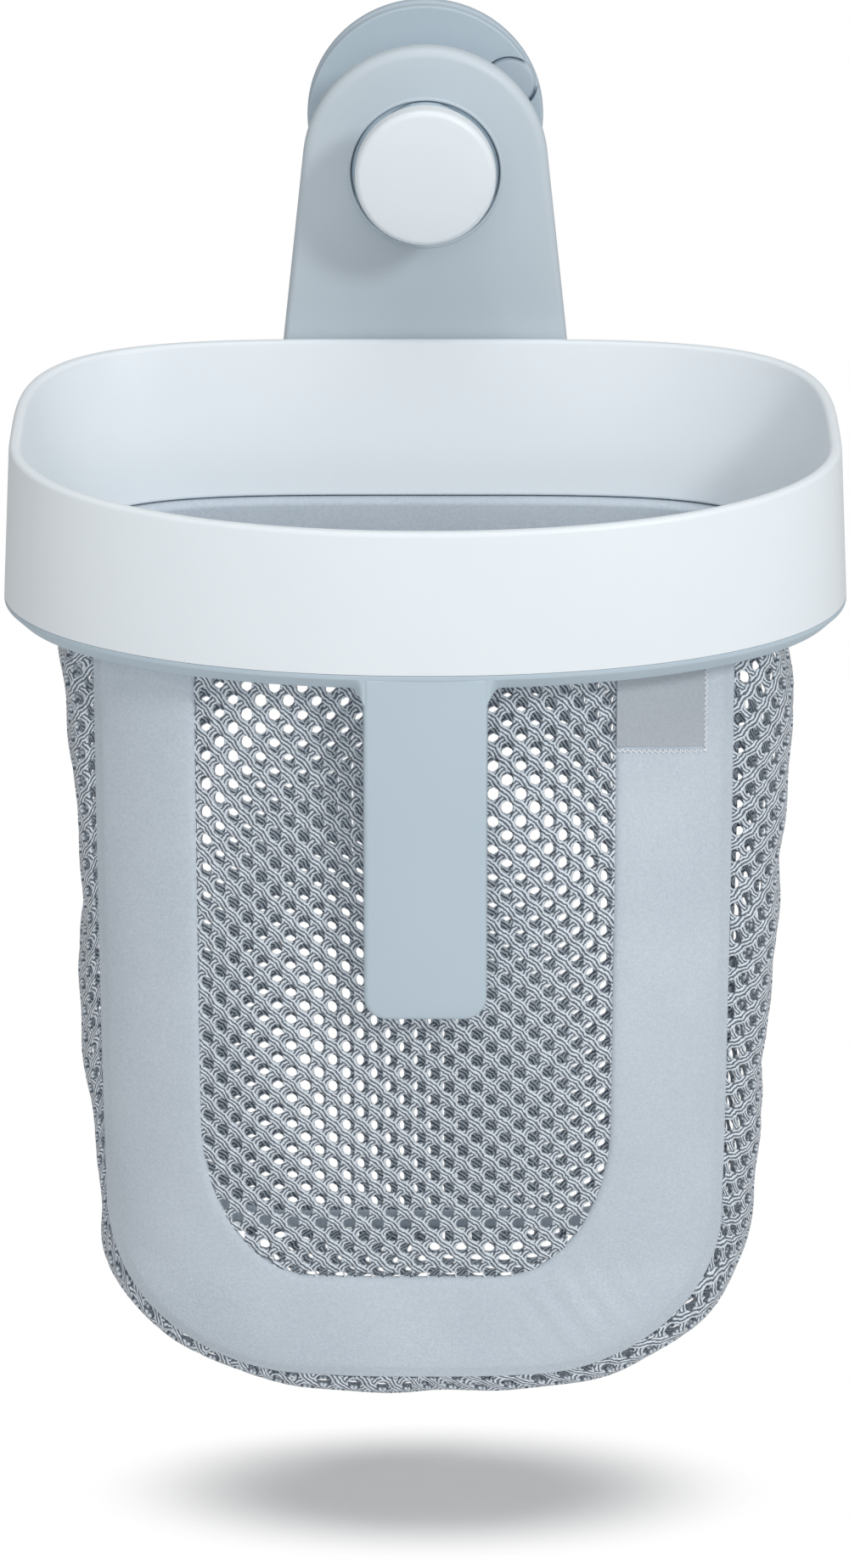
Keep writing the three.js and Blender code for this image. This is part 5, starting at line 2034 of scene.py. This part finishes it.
    def label_stitches(self) -> Object:
        """Sews the zigzag row along the label's right and lower edges.

        Returns:
            The finished stitches.
        """
        step, swing, lift = 0.0006, 0.0004, 0.002
        right = self.label_left + self.label_width
        top, long_side = self.top_z, self.label_height + self.label_slope
        down, back = int(long_side / step), int(self.label_width / step)
        lines = []
        for off in (-swing, swing):
            side = [(right + off, top - fall) for fall in np.linspace(0, long_side + off, down)]
            sill_x = np.linspace(right + off, self.label_left, back)
            slope = self.label_slope * (sill_x - self.label_left) / self.label_width
            lines.append([*side, *zip(sill_x, top - self.label_height - slope - off)])
        flat = np.array(lines)
        points = self.face_points(flat[..., 0], flat[..., 1], True)
        normal = unit_normals(points)
        raised = points - normal * np.sign(normal[..., 1:2]) * lift
        zigzag = [tuple(raised[index % 2, index]) for index in range(raised.shape[1])]
        stitches = SeamStitcher().sew("bag_label_stitches", zigzag, self.palette.thread)
        return finish_piece(stitches, Slot.LABEL)


@dataclass(frozen=True)
class Lamp:
    """A square soft lamp, with its power in watts."""

    name: str
    place: Point3
    aim: Point3
    size: float
    power: float

    def build(self) -> None:
        """Adds the lamp, turned to what it is aimed at."""
        data = bpy.data.lights.new(self.name, "AREA")
        data.size = self.size
        data.energy = self.power
        lamp = bpy.data.objects.new(self.name, data)
        lamp.location = self.place
        x, y, z = np.array(self.aim) - np.array(self.place)
        lamp.rotation_euler = (math.atan2(math.hypot(x, y), -z), 0.0, math.atan2(-x, y))
        bpy.context.scene.collection.objects.link(lamp)


@dataclass
class Studio:
    """The camera, lamps and pale floor."""

    camera_place: Point3 = (-0.0002, -1.4997, 0.4404)
    pitch: float = 0.392
    lens: float = 144.4
    sensor: float = 36.0
    floor_z: float = -0.331
    shadow_centre: Point2 = (0.001, -0.1005)
    shadow_reach: Point2 = (0.066, 0.0275)
    shadow_fade: Point2 = (0.45, 1.35)
    floor_half_width: float = 6.0
    floor_front_y: float = -4.0
    floor_back_y: float = 8.0
    floor_tone: float = 0.86
    floor_roughness: float = 0.9
    surround: float = 0.36
    lamps: tuple[Lamp, ...] = (
        Lamp("key", place=(1.3, -1.85, 1.25), aim=(0, -0.1, -0.1), size=0.4, power=17.0),
        Lamp("front", place=(-0.1, -2.4, 0.8), aim=(0, -0.1, -0.1), size=1.0, power=10.0),
        Lamp("top", place=(0.1, -0.5, 1.9), aim=(0, -0.1, -0.2), size=1.6, power=13.0),
    )

    def camera(self) -> None:
        """Sets the camera at the photograph's viewing angle."""
        data = bpy.data.cameras.new("camera")
        data.sensor_fit = "VERTICAL"
        data.sensor_height = self.sensor
        data.lens = self.lens
        camera = bpy.data.objects.new("camera", data)
        camera.location = self.camera_place
        camera.rotation_euler = (math.pi / 2 - self.pitch, 0.0, 0.0)
        bpy.context.scene.collection.objects.link(camera)
        bpy.context.scene.camera = camera

    def floor(self) -> None:
        """Adds the white floor, which keeps the object's shadow under the bag."""
        material, sketch, shader = new_material("floor_white")
        tone, white_light = (self.floor_tone,) * 3 + (1.0,), (1.0, 1.0, 1.0, 1.0)
        sketch.fill(shader, {"Base Color": tone, "Roughness": self.floor_roughness})
        place = sketch.add("ShaderNodeTexCoord").outputs["Object"]
        centre, reach = self.shadow_centre, self.shadow_reach
        moved = sketch.add("ShaderNodeMapping", {
            "Vector": place, "Scale": (1 / reach[0], 1 / reach[1], 0.0),
            "Location": (-centre[0] / reach[0], -centre[1] / reach[1], 0.0)})
        far = sketch.add("ShaderNodeVectorMath", {0: moved.outputs[0]}, operation="LENGTH")
        dark_to, white_from = self.shadow_fade
        fade = sketch.add("ShaderNodeMapRange", {
            "Value": far.outputs["Value"], "From Min": dark_to, "From Max": white_from},
            interpolation_type="SMOOTHSTEP")
        rays = sketch.add("ShaderNodeLightPath")
        white = sketch.math("MULTIPLY", fade.outputs[0], rays.outputs["Is Camera Ray"])
        glow = sketch.add("ShaderNodeEmission", {"Color": white_light, "Strength": 1.0})
        mixed = sketch.add("ShaderNodeMixShader", {0: white, 1: shader.outputs[0], 2: glow.outputs[0]})
        output = next(node for node in sketch.tree.nodes if node.bl_idname == "ShaderNodeOutputMaterial")
        sketch.feed(output.inputs["Surface"], mixed.outputs[0])
        side, front, back = self.floor_half_width, self.floor_front_y, self.floor_back_y
        corners = [(-side, front), (side, front), (side, back), (-side, back)]
        vertices = [(x, y, self.floor_z) for x, y in corners]
        floor = mesh_piece("floor", vertices, [(0, 1, 2, 3)], material, recalculate=False)

    def world(self) -> None:
        """Sets an even pale surround, plain white where the camera sees it."""
        world = bpy.data.worlds.new("surround")
        bpy.context.scene.world = world
        world.use_nodes = True
        world.node_tree.nodes.clear()
        sketch = NodeSketch(world.node_tree)
        rays = sketch.add("ShaderNodeLightPath")
        seen = sketch.math("MULTIPLY", rays.outputs["Is Camera Ray"], 1.0 - self.surround)
        strength = sketch.math("ADD", seen, self.surround)
        glow = sketch.add("ShaderNodeBackground", {"Color": (1.0, 1.0, 1.0, 1.0), "Strength": strength})
        sketch.add("ShaderNodeOutputWorld", {"Surface": glow.outputs[0]})

    def build(self) -> None:
        """Sets up the whole studio."""
        self.camera()
        for lamp in self.lamps:
            lamp.build()
        self.floor()
        self.world()
        bpy.context.scene.view_settings.view_transform = "Standard"


def main() -> None:
    """Builds every piece in order."""
    logging.basicConfig(level=logging.INFO, format="%(message)s")
    Studio().build()
    palette = Palette()
    mount = WallMount(palette)
    mount.cup()
    mount.cover()
    mount.knob()
    stud_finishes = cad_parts["draw_stud"].data.materials
    stud_finishes.clear()
    stud_finishes.append(palette.steel)
    BackPlate(palette).plate()
    rim = RimFrame(palette)
    rim.rim()
    rim.ring()
    plate_screws = tuple(f"plate_screw_{number}" for number in range(1, 5))
    ring_screws = tuple(f"ring_screw_{number}" for number in range(1, 7))
    ScrewSet("plate_screws", plate_screws, palette.steel, shank_radius=0.0015, head_radius=0.0032,
             head_height=0.002, length=0.0098, head_along=(0, 1, 0), turn_x=-math.pi / 2).build()
    ScrewSet("ring_screws", ring_screws, palette.steel, shank_radius=0.0014, head_radius=0.0029,
             head_height=0.0016, length=0.011, head_along=(0, 0, -1), turn_x=math.pi).build()
    bag = NetBag(palette)
    bag.front_net()
    bag.front_band()
    bag.gusset_net()
    bag.back_net()
    bag.hem()
    bag.label()


if __name__ == "__main__":
    main()
